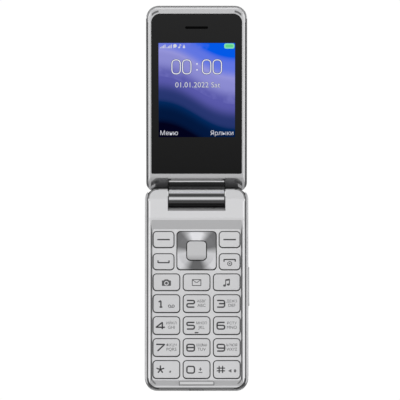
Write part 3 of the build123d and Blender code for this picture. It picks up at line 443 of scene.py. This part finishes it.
def outlinedPad():
    low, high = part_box(pad["node"])
    middle, reach = (low + high) / 2, (high - low) / 2
    paint = Paint("outlinedPad")
    fine = paint.noise(paint.place(), 1500, 3)
    x, y, _ = paint.parts(paint.place((middle.x, middle.y, 0)))
    # painted shade round its edge
    border = x.size().above(reach.x - pad["edge"] * mm).greater(y.size().above(reach.y - pad["edge"] * mm))
    paint.set(
        Base_Color=paint.blend(border, paint.blend(fine, grey(0.60), grey(0.68)), grey(0.26)),
        Roughness=fine * 0.1 + 0.5,
    )
    return paint.material


# The camera window's rings: how far out each one reaches, in millimetres, and its tone.
lens = {"node": "camera_window",
        "rims": ((1.0, 0.012), (1.35, 0.10), (2.3, 0.004), (2.6, 0.05), (3.6, 0.006), (9, 0.35))}


def lensPaint():
    # black glass over a lens, with its rings seen through it and a bright rim
    paint = Paint("lensPaint", Specular_IOR_Level=0.6)
    haze = paint.noise(paint.place(), 400, 2)
    x, y, _ = paint.parts(paint.place(tuple(middleOf(lens["node"])), lidTilt))
    radius = (x * x + y * y) ** 0.5
    level = before = 0.0
    for reach, tone in lens["rims"]:
        level = level + within(radius, before, reach) * tone
        before = reach
    paint.set(
        Base_Color=paint.blend(level, (0.002, 0.002, 0.004, 1), grey(1.0)),
        Metallic=radius.above(lens["rims"][-2][0] * mm) * 0.9,
        Roughness=haze * 0.04 + 0.05,
    )
    return paint.material


finishes = {
    "silver_casing": silverPaint("silverCasing", "base", frontShade),
    "silver_shell": silverPaint("silverShell", "base", rearShade, 0.62, 0.28, 0.55),
    "lid_silver": silverPaint("lidSilver", "lid", innerShade, 0.73, 0.26),
    "key_silver": silverPaint("keySilver", "base", skirtShade, 0.78, 0.38, 0.45),
    "nav_silver": silverPaint("centreSilver", "base", centreShade, 0.74, 0.34, 0.5),
    "dark_chrome": darkChrome(),
    "window_black": glossBlack("windowBlack", 0.007),
    "display_glass": glossBlack("displayGlass", 0.03),
    "circuit_board": moulded("circuitBoard", (0.02, 0.16, 0.07), 0.4, coat=0.3),
    "steel": moulded("steel", (0.62, 0.62, 0.63), 0.35, 1.0, 800, 0.004),
    "contact_gold": moulded("contactGold", (0.80, 0.58, 0.22), 0.3, 1.0, 800, 0.004),
    "battery_can": moulded("batteryWrap", (0.55, 0.56, 0.58), 0.45, 0.3),
    "clear_film": moulded("clearFilm", (0.75, 0.75, 0.75), 0.3),
    "grey_rubber": moulded("greyRubber", (0.28, 0.28, 0.29), 0.8, depth=0.02),
    "pale_rubber": moulded("paleRubber", (0.60, 0.60, 0.61), 0.6, depth=0.01),
    "black_plastic": moulded("blackPlastic", (0.025, 0.025, 0.027), 0.5),
    "dark_mesh": moulded("darkMesh", (0.003, 0.003, 0.003), 0.9, shine=0.05),
    "flex_amber": moulded("flexAmber", (0.50, 0.26, 0.07), 0.35, coat=0.3),
}
slotOf = {entry["node"]: entry["material_slot"] for entry in frame["record"]["subparts"]}
for name, node in nodes.items():
    node.data.materials.clear()
    node.data.materials.append(finishes[slotOf[name]])
nodes[navKey["node"]].data.materials[0] = brushedRound()
nodes[pad["node"]].data.materials[0] = outlinedPad()
nodes[lens["node"]].data.materials[0] = lensPaint()
nodes["lid_outer_case"].data.materials[0] = silverPaint("lidShell", "lid", outerShade, 0.70, 0.28, 0.55)
print("finishes:", len(finishes))


# Printed marks: strokes with rounded corners, and small filled shapes.

markThick = 0.06
printed = moulded("printedGrey", (0.055, 0.055, 0.058), 0.55)
printedSoft = moulded("printedSoft", (0.09, 0.09, 0.093), 0.55)
printedPale = moulded("printedPale", (0.13, 0.13, 0.135), 0.55)


def rounded(points, radius, closed=False):
    route = [Vector((x, y, 0)) for x, y in points]
    path = []
    for index, corner in enumerate(route):
        if not closed and index in (0, len(route) - 1):
            path.append(corner)
            continue
        before = route[index - 1] - corner
        after = route[(index + 1) % len(route)] - corner
        reach = min(radius, before.length / 2, after.length / 2)
        start = corner + before.normalized() * reach
        end = corner + after.normalized() * reach
        for step in range(5):
            share = step / 4
            path.append(start.lerp(corner, share).lerp(corner.lerp(end, share), share))
    return path


def softened(points, radius):
    # a closed outline with rounded corners
    return [(spot.x, spot.y) for spot in rounded(points, radius, True)]


def addSpline(curve, spots, closed):
    spline = curve.splines.new("POLY")
    spline.points.add(len(spots) - 1)
    for point, spot in zip(spline.points, spots):
        point.co = (*spot, 1)
    spline.use_cyclic_u = closed


def asMesh(curve):
    holder = bpy.data.objects.new(curve.name, curve)
    mesh = bpy.data.meshes.new_from_object(holder)
    bpy.data.objects.remove(holder)
    return mesh


def strokes(name, paths, width, radius=0.0):
    curve = bpy.data.curves.new(name, "CURVE")
    curve.dimensions = "3D"
    curve.bevel_depth = width / 2
    curve.bevel_resolution = 1
    curve.use_fill_caps = True
    for points, closed in paths:
        addSpline(curve, rounded(points, radius, closed), closed)
    return asMesh(curve)


def words(text, size, align="CENTER", widest=50.0, slim=0.0):
    curve = bpy.data.curves.new("words", "FONT")
    curve.body = text
    curve.size = size
    curve.align_x = align
    curve.align_y = "CENTER"
    curve.extrude = markThick / 2
    curve.resolution_u = 3
    curve.offset = -slim
    mesh = asMesh(curve)
    across = [spot.co.x for spot in mesh.vertices]
    mesh.transform(Matrix.Diagonal((min(1, widest / (max(across) - min(across))), 1, 1, 1)))
    return mesh


def slab(points, thick=markThick):
    work = bmesh.new()
    face = work.faces.new([work.verts.new((x, y, -thick / 2)) for x, y in points])
    lifted = bmesh.ops.extrude_face_region(work, geom=[face])["geom"]
    top = [part for part in lifted if isinstance(part, bmesh.types.BMVert)]
    bmesh.ops.translate(work, vec=(0, 0, thick), verts=top)
    bmesh.ops.recalc_face_normals(work, faces=work.faces)
    mesh = bpy.data.meshes.new("slab")
    work.to_mesh(mesh)
    work.free()
    return mesh


def plate(outlines):
    # a thin filled shape; an outline inside another one is a hole
    curve = bpy.data.curves.new("plate", "CURVE")
    curve.dimensions = "2D"
    curve.fill_mode = "BOTH"
    curve.extrude = markThick / 2
    for outline in outlines:
        addSpline(curve, [(x, y, 0) for x, y in outline], True)
    return asMesh(curve)


def rectangle(width, height, x=0.0, y=0.0):
    w, h = width / 2, height / 2
    return [(x - w, y - h), (x + w, y - h), (x + w, y + h), (x - w, y + h)]


def ring(radius, steps=24, x=0.0, y=0.0):
    return [(x + radius * cos(2 * pi * step / steps), y + radius * sin(2 * pi * step / steps))
            for step in range(steps)]


def stand(name, work, material):
    mesh = bpy.data.meshes.new(name)
    work.to_mesh(mesh)
    work.free()
    made = bpy.data.objects.new(name, mesh)
    bpy.context.scene.collection.objects.link(made)
    mesh.materials.append(material)
    return made


def piece(name, meshes, body, finish):
    # meshes: (mesh, where in metres) pairs, joined into one object whose place is in its mesh
    work = bmesh.new()
    for mesh, where in meshes:
        mesh.transform(where)
        work.from_mesh(mesh)
        bpy.data.meshes.remove(mesh)
    bmesh.ops.remove_doubles(work, verts=work.verts, dist=0.002 * mm)
    bmesh.ops.recalc_face_normals(work, faces=work.faces)
    made = stand(name, work, finish)
    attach(made, body)


def spotOn(half, x, y, z, flat=1.0):
    # a place on a half of the phone, in millimetres, with heights pressed flat by the given share
    return half @ Matrix.Translation((x * mm, y * mm, z * mm)) @ Matrix.Diagonal((mm, mm, mm * flat, 1))


# Digits in a square from 0 to 1, as (points, closed) strokes.
digitPaths = {
    "0": [([(0, 0), (1, 0), (1, 1), (0, 1)], True)],
    "1": [([(0.25, 0.76), (0.56, 1), (0.56, 0)], False), ([(0.38, 0), (0.74, 0)], False)],
    "2": [([(0, 1), (1, 1), (1, 0.52), (0, 0.52), (0, 0), (1, 0)], False)],
    "3": [([(0, 1), (1, 1), (1, 0), (0, 0)], False), ([(0.25, 0.52), (1, 0.52)], False)],
    "4": [([(0.75, -0.02), (0.75, 1.0), (-0.08, 0.27), (1.10, 0.27)], False)],
    "5": [([(1, 1), (0, 1), (0, 0.56), (1, 0.56), (1, 0), (0, 0)], False)],
    "6": [([(1, 1), (0, 1), (0, 0), (1, 0), (1, 0.56), (0, 0.56)], False)],
    "7": [([(-0.05, 1), (1.05, 1), (0.12, 0)], False)],
    "8": [([(0, 0), (1, 0), (1, 1), (0, 1)], True), ([(0, 0.52), (1, 0.52)], False)],
    "9": [([(1, 0.44), (0, 0.44), (0, 1), (1, 1), (1, 0), (0, 0)], False)],
}


def sized(paths, width, height, x=0.0, y=0.0):
    return [([(x + (a - 0.5) * width, y + (b - 0.5) * height) for a, b in points], closed)
            for points, closed in paths]


def moved(paths, shift):
    return [([(x + shift, y) for x, y in points], closed) for points, closed in paths]


# What is printed on the keys, in millimetres from each key's middle.
legend = {
    "digitSize": (3.75, 3.35), "stroke": 0.72, "corner": 1.05, "sharp": 0.25, "sharpDigits": "47",
    "digitShift": -2.95, "digitDrop": -0.12, "starSize": 4.0, "starStroke": 0.66, "hashSize": (4.1, 3.6),
    "hashStroke": 0.56, "hashBar": 0.38, "hashPost": 0.42, "upperSize": 1.85, "lowerSize": 2.15,
    "letterShift": 2.5, "upperRow": 1.15, "lowerRow": -1.0, "widest": 5.2, "relief": 0.08, "paleFlat": 0.2,
    "blobLift": 0.01, "paleLift": 0.005,
}
letterRows = {
    "2": ("АБВГ", "ABC"), "3": ("ДЕЖЗ", "DEF"), "4": ("ИЙКЛ", "GHI"), "5": ("МНОП", "JKL"),
    "6": ("РСТУ", "MNO"), "7": ("ФХЦЧ", "PQRS"), "8": ("ШЩЪЫ", "TUV"), "9": ("ЬЭЮЯ", "WXYZ"),
}
# The upper keys' signs: strokes, each set with its width and corner radius.
softSign = [([([(-3.1, -0.05), (3.1, -0.05)], False)], 0.66, 0)]
keySigns = {
    "soft_left": softSign,
    "soft_right": softSign,
    "call": [([([(-2.75, 0.65), (-2.75, -0.5), (2.75, -0.5), (2.75, 0.65)], False)], 0.62, 0.1)],
    "end": [([([(-2.8, 0.0), (-2.8, 1.1), (2.8, 1.1), (2.8, 0.0)], False)], 0.62, 0.1)],
    "camera": [],
    "message": [([(rectangle(4.3, 3.0, 0, -0.2), True)], 0.40, 0.2),
                ([([(-2.0, 1.2), (-0.35, -0.1), (0.35, -0.1), (2.0, 1.2)], False)], 0.34, 0.2)],
    "music": [([([(-0.55, -1.6), (-0.55, 1.2), (1.35, 1.55), (1.35, -1.1)], False)], 0.44, 0.05),
              ([([(-0.55, 0.85), (1.35, 1.2)], False)], 0.5, 0)],
}


def starPaths(size):
    return [([(0, 0), (size / 2 * cos(turn), size / 2 * sin(turn))], False)
            for turn in (radians(90 + 72 * arm) for arm in range(5))]


def hashPaths(width, height):
    w, h = width / 2, height / 2
    bars = [([(-w, y), (w, y)], False) for y in (h * legend["hashBar"], -h * legend["hashBar"])]
    return bars + [([(x, -h), (x, h)], False) for x in (-w * legend["hashPost"], w * legend["hashPost"])]


def keyMarks(name):
    # dark marks of one key, as strokes with their width and corner radius
    if name in digitPaths:
        paths = sized(digitPaths[name], *legend["digitSize"], legend["digitShift"], legend["digitDrop"])
        corner = legend["sharp"] if name in legend["sharpDigits"] else legend["corner"]
        return [(paths, legend["stroke"], corner)]
    if name == "star":
        return [(moved(starPaths(legend["starSize"]), legend["digitShift"]), legend["starStroke"], 0)]
    if name == "hash":
        return [(moved(hashPaths(*legend["hashSize"]), legend["digitShift"]), legend["hashStroke"], 0)]
    return keySigns[name]


def keyBlobs(name):
    # filled dark shapes of one key
    if name == "camera":
        body = [(-2.25, -1.85), (2.25, -1.85), (2.25, 0.85), (1.25, 0.85), (0.85, 1.4), (-0.85, 1.4),
                (-1.25, 0.85), (-2.25, 0.85)]
        return [plate([softened(body, 0.35), ring(1.15, 24, 0, -0.5)]), plate([ring(0.68, 20, 0, -0.5)])]
    if name == "music":
        return [plate([[(x + across, y * 0.75 + foot) for x, y in ring(0.75)]])
                for across, foot in ((-1.1, -1.7), (0.8, -1.2))]
    if name == "5":
        return [plate([softened(rectangle(1.9, 0.62, 0, -3.6), 0.28)])]
    return []


def paleMarks(name):
    # paler marks of one key: each mesh with its place across and along
    if name in letterRows:
        upper, lower = letterRows[name]
        return [(words(upper, legend["upperSize"], widest=legend["widest"]), legend["letterShift"],
                 legend["upperRow"]),
                (words(lower, legend["lowerSize"], widest=legend["widest"]), legend["letterShift"],
                 legend["lowerRow"])]
    if name == "1":
        reels = [(ring(0.6, 16, x), True) for x in (-0.9, 0.9)]
        return [(strokes("tape", reels + [([(-0.9, -0.6), (0.9, -0.6)], False)], 0.34), 2.45, -1.3)]
    if name == "star":
        return [(strokes("comma", [([(0.15, 0.45), (0.2, 0.0), (-0.15, -0.45)], False)], 0.75), 1.8, -1.1)]
    if name == "0":
        plus = [([(-0.7, 0.1), (0.7, 0.1)], False), ([(0, -0.75), (0, 0.95)], False)]
        return [(strokes("plus", plus, 0.46), 1.9, 0),
                (strokes("minus", [([(-1.0, -1.5), (1.0, -1.5)], False)], 0.40), 1.9, 0)]
    if name == "hash":
        return [(slab([(-1.1, 0), (0.6, 0.9), (0.6, -0.9)]), 1.7, -0.7),
                (slab([(x, 1.4 * y) for x, y in ring(0.6, 14)]), 4.1, -0.7)]
    if name == "end":
        return [(strokes("bell", [(ring(1.02, 20), True), (ring(0.2, 12), True)], 0.42), 0, -1.0)]
    return []


for name in nodes:
    if not name.startswith("key_"):
        continue
    low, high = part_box(name)
    x, y, top = (low.x + high.x) / 2 / mm, ((low.y + high.y) / 2 - hinge.y) / mm, high.z / mm
    short = name[4:]
    face = spotOn(baseFrame, x, y, top, legend["relief"] / legend["stroke"])
    dark = [(strokes(name, paths, width, radius), face) for paths, width, radius in keyMarks(short)]
    dark += [(mesh, spotOn(baseFrame, x, y, top + legend["blobLift"])) for mesh in keyBlobs(short)]
    soft = short in ("camera", "message", "music")
    piece(f"legend_{short}", dark, name, printedSoft if soft else printed)
    flat = 1.0 if short in letterRows or short == "hash" else legend["paleFlat"]
    pale = [(mesh, spotOn(baseFrame, x + shift, y + lift, top + legend["paleLift"], flat))
            for mesh, shift, lift in paleMarks(short)]
    if pale:
        piece(f"letters_{short}", pale, name, printedPale)
print("key legends done")


# The lit screen.

screen = {"width": 38.1, "height": 47.5, "x": 0.1, "middle": 54.35, "lift": 0.03, "face": -3.35,
          "thick": 0.04}
# The wallpaper: even waves through these colours, from the foot up, with a paler glow in places.
waves = {"colours": ((0, 0, 0.01), (0, 0.02, 0.1), (0.1, 0.1, 0.4), (0.3, 0.3, 0.7), (0, 0.1, 0.8)),
         "count": 5, "depth": 0.03, "slant": 0.3, "sway": 0.05, "glow": (0.4, 0.4, 0.9, 1), "glowFrom": 0.52,
         "glowStrength": 1.3}


def screenPicture():
    paint = Paint("screenPicture", Roughness=0.3, Specular_IOR_Level=0.0, Emission_Strength=1.0)
    middle = lidFrame @ Vector((0, screen["middle"] * mm, 0))
    spot = paint.place(tuple(middle), lidTilt, (screen["height"] * mm,) * 3)
    x, y, _ = paint.parts(spot)
    height = y + x * waves["slant"] + (x * (2 * pi)).sine() * waves["sway"] + 0.5
    swell = (height * (2 * pi * waves["count"])).sine() * waves["depth"]
    steps = len(waves["colours"]) - 1
    stops = [(index / steps, colour) for index, colour in enumerate(waves["colours"])]
    sky = paint.ramp(height + swell, *stops)
    swirl = paint.noise(spot, 3.4, 3, 0.6)
    glow = (swirl - waves["glowFrom"]).greater(0.0) * waves["glowStrength"] * height.above(0.5)
    paint.set(Base_Color=(0.001, 0.001, 0.001, 1), Emission_Color=paint.blend(glow, sky, waves["glow"]))
    return paint.material


def lit(name, colour):
    paint = Paint(name, Roughness=0.3, Emission_Strength=1.0, Base_Color=(0, 0, 0, 1))
    haze = paint.noise(paint.place(), 500, 1)
    brighter = (*(min(1, part * 1.04) for part in colour), 1)
    paint.set(Emission_Color=paint.blend(haze, (*colour, 1), brighter))
    return paint.material


def onScreen(x, u, lift, flat=1.0):
    return spotOn(lidFrame, x, u, screen["face"] + lift, flat)


piece("screen_picture", [(slab(rectangle(screen["width"], screen["height"]), screen["thick"]),
                          onScreen(screen["x"], screen["middle"], screen["lift"]))],
      "lid", screenPicture())

marks = {
    "clockLine": 0.46, "edgeLine": 0.95, "clockSize": (4.2, 7.1), "clockCorner": 2.4, "clockRow": 66.1,
    "clockAt": (-10.2, -4.9, 5.0, 10.3), "dot": 0.38, "dotAt": 0.2, "dotGap": 1.5, "date": "01.01.2022 Sat",
    "dateRow": 56.9, "dateSize": 3.8, "dateAt": 0.5, "dateEdge": 0.1, "statusRow": 76.6, "labelRow": 32.6,
    "labelSize": 3.2, "slim": 0.012, "labels": (("Меню", "LEFT", -18.4), ("Ярлыки", "RIGHT", 18.6)),
    "lift": 0.07, "flat": 0.08, "edgeFlat": 0.02, "batteryAt": 16.3, "batteryCorner": 1.0,
}
white = lit("litWhite", (0.80, 0.80, 0.84))
pale = lit("litPale", (0.62, 0.63, 0.70))
green = lit("litGreen", (0.10, 0.62, 0.22))
paleGreen = lit("litPaleGreen", (0.2, 0.7, 0.4))
navy = lit("litNavy", (0.035, 0.050, 0.200))

clockPaths = sized(digitPaths["0"], *marks["clockSize"])
clock = []
edges = [(words(marks["date"], marks["dateSize"], slim=-marks["dateEdge"]),
          onScreen(marks["dateAt"], marks["dateRow"], marks["lift"] - 0.02))]
for x in marks["clockAt"]:
    clock.append((strokes("clock", clockPaths, marks["clockLine"], marks["clockCorner"]),
                  onScreen(x, marks["clockRow"], marks["lift"] + 0.01, marks["flat"])))
    edges.append((strokes("edge", clockPaths, marks["edgeLine"], marks["clockCorner"]),
                  onScreen(x, marks["clockRow"], marks["lift"] - 0.01, marks["edgeFlat"])))
piece("screen_edges", edges, "lid", navy)
for y in (-marks["dotGap"], marks["dotGap"]):
    clock.append((slab(ring(marks["dot"], 14)),
                  onScreen(marks["dotAt"], marks["clockRow"] + y, marks["lift"])))
piece("screen_clock", clock, "lid", white)

lines = [(words(marks["date"], marks["dateSize"]),
          onScreen(marks["dateAt"], marks["dateRow"], marks["lift"]))]
lines += [(words(label, marks["labelSize"], side, slim=marks["slim"]),
           onScreen(x, marks["labelRow"], marks["lift"])) for label, side, x in marks["labels"]]
# the row of small signs: two signal gauges, a speech bubble, a note and a padlock
signs = [rectangle(0.42, 0.5 + 0.45 * bar, left + bar * 0.72, 0.25 + 0.225 * bar - 1.1)
         for bar in range(4) for left in (-17.9, -14.75)]
signs += [ring(0.9, 20, -10.8, 0.1), [(-11.5, -0.3), (-10.9, -0.7), (-11.6, -1.1)]]
signs += [[(x - 8.7, y * 0.8 - 0.7) for x, y in ring(0.5, 14)], rectangle(0.28, 1.6, -8.32, 0.1),
          [(-8.46, 0.9), (-8.46, 0.5), (-7.6, 0.2), (-7.6, 0.6)]]
signs += [rectangle(1.1, 0.9, -6.3, -0.6)]
lines += [(slab(sign), onScreen(0, marks["statusRow"], marks["lift"])) for sign in signs]
shackle = [([(-6.6, -0.3), (-6.6, 0.5), (-6.0, 0.5), (-6.0, -0.3)], False)]
lines.append((strokes("shackle", shackle, 0.22, 0.3),
              onScreen(0, marks["statusRow"], marks["lift"], marks["flat"])))
piece("screen_marks", lines, "lid", pale)
for name, width, height, lift, finish in (("screen_battery", 5.1, 2.6, 0.0, paleGreen),
                                          ("screen_charge", 3.7, 1.3, 0.01, green)):
    pill = slab(softened(rectangle(width, height), marks["batteryCorner"]))
    piece(name, [(pill, onScreen(marks["batteryAt"], marks["statusRow"], marks["lift"] + lift))],
          "lid", finish)
print("screen done")


# Studio: floor, light and camera.

studio = {"floor": 6.0, "floorDrop": 0.05, "floorLight": 0.22, "floorSeen": 0.8, "pixelsPerMm": 2.0,
          "pixels": 400, "lens": 500.0, "sensor": 36.0, "elevation": 80.0, "right": 1.7, "down": 0.7,
          "world": 0.78, "boxSize": 0.9, "boxHeight": 1.2, "boxPower": 2.6, "tentRadius": 1.1,
          "tentLength": 4.0, "sideLevel": 1.1, "sideHeight": 0.36, "sideReach": 0.7, "sideDistance": 0.9}


def floorPaint():
    paint = Paint("floorWhite", Roughness=0.9, Base_Color=(0.9, 0.9, 0.9, 1))
    light = paint.tree.nodes.new("ShaderNodeLightPath")
    camera = Value(paint, light.outputs["Is Camera Ray"])
    seen = camera.greater(Value(paint, light.outputs["Is Glossy Ray"]))
    strength = camera * studio["floorSeen"] + studio["floorLight"]
    glow = paint.node("ShaderNodeEmission", None, {"Color": (1, 1, 1, 1), "Strength": strength})
    plain = Value(paint, paint.shader.outputs[0])
    mixed = paint.node("ShaderNodeMixShader", None, {0: seen, 1: plain, 2: glow})
    # seen from below, the floor is clear
    under = Value(paint, paint.tree.nodes.new("ShaderNodeNewGeometry").outputs["Backfacing"])
    clear = paint.node("ShaderNodeBsdfTransparent")
    sided = paint.node("ShaderNodeMixShader", None, {0: under, 1: mixed, 2: clear})
    paint.plug(paint.tree.nodes["Material Output"].inputs["Surface"], sided)
    return paint.material


def studioFloor():
    work = bmesh.new()
    bmesh.ops.create_grid(work, x_segments=1, y_segments=1, size=studio["floor"] / 2)
    bmesh.ops.translate(work, vec=(0, 0, -studio["floorDrop"] * mm), verts=work.verts)
    floor = stand("floor", work, floorPaint())
    floor.visible_diffuse = floor.visible_glossy = False


def studioWorld():
    world = bpy.data.worlds.new("studio")
    bpy.context.scene.world = world
    world.use_nodes = True
    tree = world.node_tree
    light = tree.nodes.new("ShaderNodeLightPath")
    seen = tree.nodes.new("ShaderNodeMath")
    seen.operation = "MAXIMUM"
    tree.links.new(light.outputs["Is Camera Ray"], seen.inputs[0])
    tree.links.new(light.outputs["Is Glossy Ray"], seen.inputs[1])
    strength = tree.nodes.new("ShaderNodeMapRange")
    strength.inputs["To Min"].default_value = studio["world"]
    strength.inputs["To Max"].default_value = 1.0
    tree.links.new(seen.outputs[0], strength.inputs["Value"])
    tree.links.new(strength.outputs[0], tree.nodes["Background"].inputs["Strength"])
    tree.nodes["Background"].inputs["Color"].default_value = (1, 1, 1, 1)
    world.cycles.sampling_method = "NONE"


def softbox(name, place, size, power, aim):
    lamp = bpy.data.lights.new(name, "AREA")
    lamp.shape = "RECTANGLE"
    lamp.size, lamp.size_y = size
    lamp.energy = power
    holder = bpy.data.objects.new(name, lamp)
    bpy.context.scene.collection.objects.link(holder)
    holder.location = place
    holder.visible_glossy = False
    holder.rotation_euler = (Vector(aim) - Vector(place)).to_track_quat("-Z", "Y").to_euler()


def onlyReflected(name, work, paint, colour, strength):
    # a board that gives off light, which only reflections see
    glow = paint.node("ShaderNodeEmission", None, {"Color": colour, "Strength": strength})
    paint.plug(paint.tree.nodes["Material Output"].inputs["Surface"], glow)
    board = stand(name, work, paint.material)
    board.visible_camera = board.visible_diffuse = board.visible_shadow = board.visible_transmission = False


# What the shiny faces mirror: two strip lights in a dim room, in degrees from straight up towards the lid.
strips = {"room": 0.08, "lights": ({"at": -8, "half": 8, "soft": 16, "level": 0.9},
                                   {"at": 92, "half": 12, "soft": 34, "level": 1.2})}


def reflectionTent():
    # a tube round the phone, lit by angle
    paint = Paint("tent")
    _, y, z = paint.parts(paint.place(tuple(hinge)))
    top = max(light["level"] for light in strips["lights"])
    stops = []
    for light in strips["lights"]:
        inner, outer = light["half"], light["half"] + light["soft"]
        for turn, level in ((-outer, strips["room"]), (-inner, light["level"]), (inner, light["level"]),
                            (outer, strips["room"])):
            stops.append(((light["at"] + turn + 180) / 360, grey(level / top)[:3]))
    work = bmesh.new()
    bmesh.ops.create_cone(work, segments=96, radius1=studio["tentRadius"], radius2=studio["tentRadius"],
                          depth=studio["tentLength"])
    bmesh.ops.rotate(work, matrix=Matrix.Rotation(radians(90), 3, "Y"), verts=work.verts)
    bmesh.ops.translate(work, vec=hinge, verts=work.verts)
    onlyReflected("tent", work, paint, paint.ramp(y.turnFrom(z) / (2 * pi) + 0.5, *stops), top)


def sideCard(name, side):
    # a bright upright board past one side of the phone
    work = bmesh.new()
    bmesh.ops.create_grid(work, x_segments=1, y_segments=1, size=0.5)
    bmesh.ops.scale(work, vec=(studio["sideHeight"], studio["sideReach"], 1), verts=work.verts)
    bmesh.ops.rotate(work, matrix=Matrix.Rotation(radians(90), 3, "Y"), verts=work.verts)
    bmesh.ops.translate(work, vec=hinge + Vector((side * studio["sideDistance"], 0, 0)), verts=work.verts)
    onlyReflected(name, work, Paint(name), (1, 1, 1, 1), studio["sideLevel"])


def studioCamera():
    lift = radians(studio["elevation"])
    towards = Vector((0, -cos(lift), sin(lift)))
    up = Vector((0, sin(lift), cos(lift)))
    aim = hinge + Vector((studio["right"] * mm, 0, 0)) - up * studio["down"] * mm
    camera = bpy.data.cameras.new("camera")
    camera.lens = studio["lens"]
    camera.sensor_width = studio["sensor"]
    camera.clip_start, camera.clip_end = 0.01, 50
    holder = bpy.data.objects.new("camera", camera)
    bpy.context.scene.collection.objects.link(holder)
    distance = studio["pixels"] / studio["pixelsPerMm"] * mm * studio["lens"] / studio["sensor"]
    holder.location = aim + towards * distance
    holder.rotation_euler = (-towards).to_track_quat("-Z", "Y").to_euler()
    bpy.context.scene.camera = holder


studioFloor()
studioWorld()
softbox("topBox", (0, 0.1, studio["boxHeight"]), (studio["boxSize"] * 2, studio["boxSize"]),
        studio["boxPower"], hinge)
reflectionTent()
sideCard("leftCard", -1)
sideCard("rightCard", 1)
studioCamera()
bpy.context.scene.view_settings.view_transform = "Standard"
print("studio done")
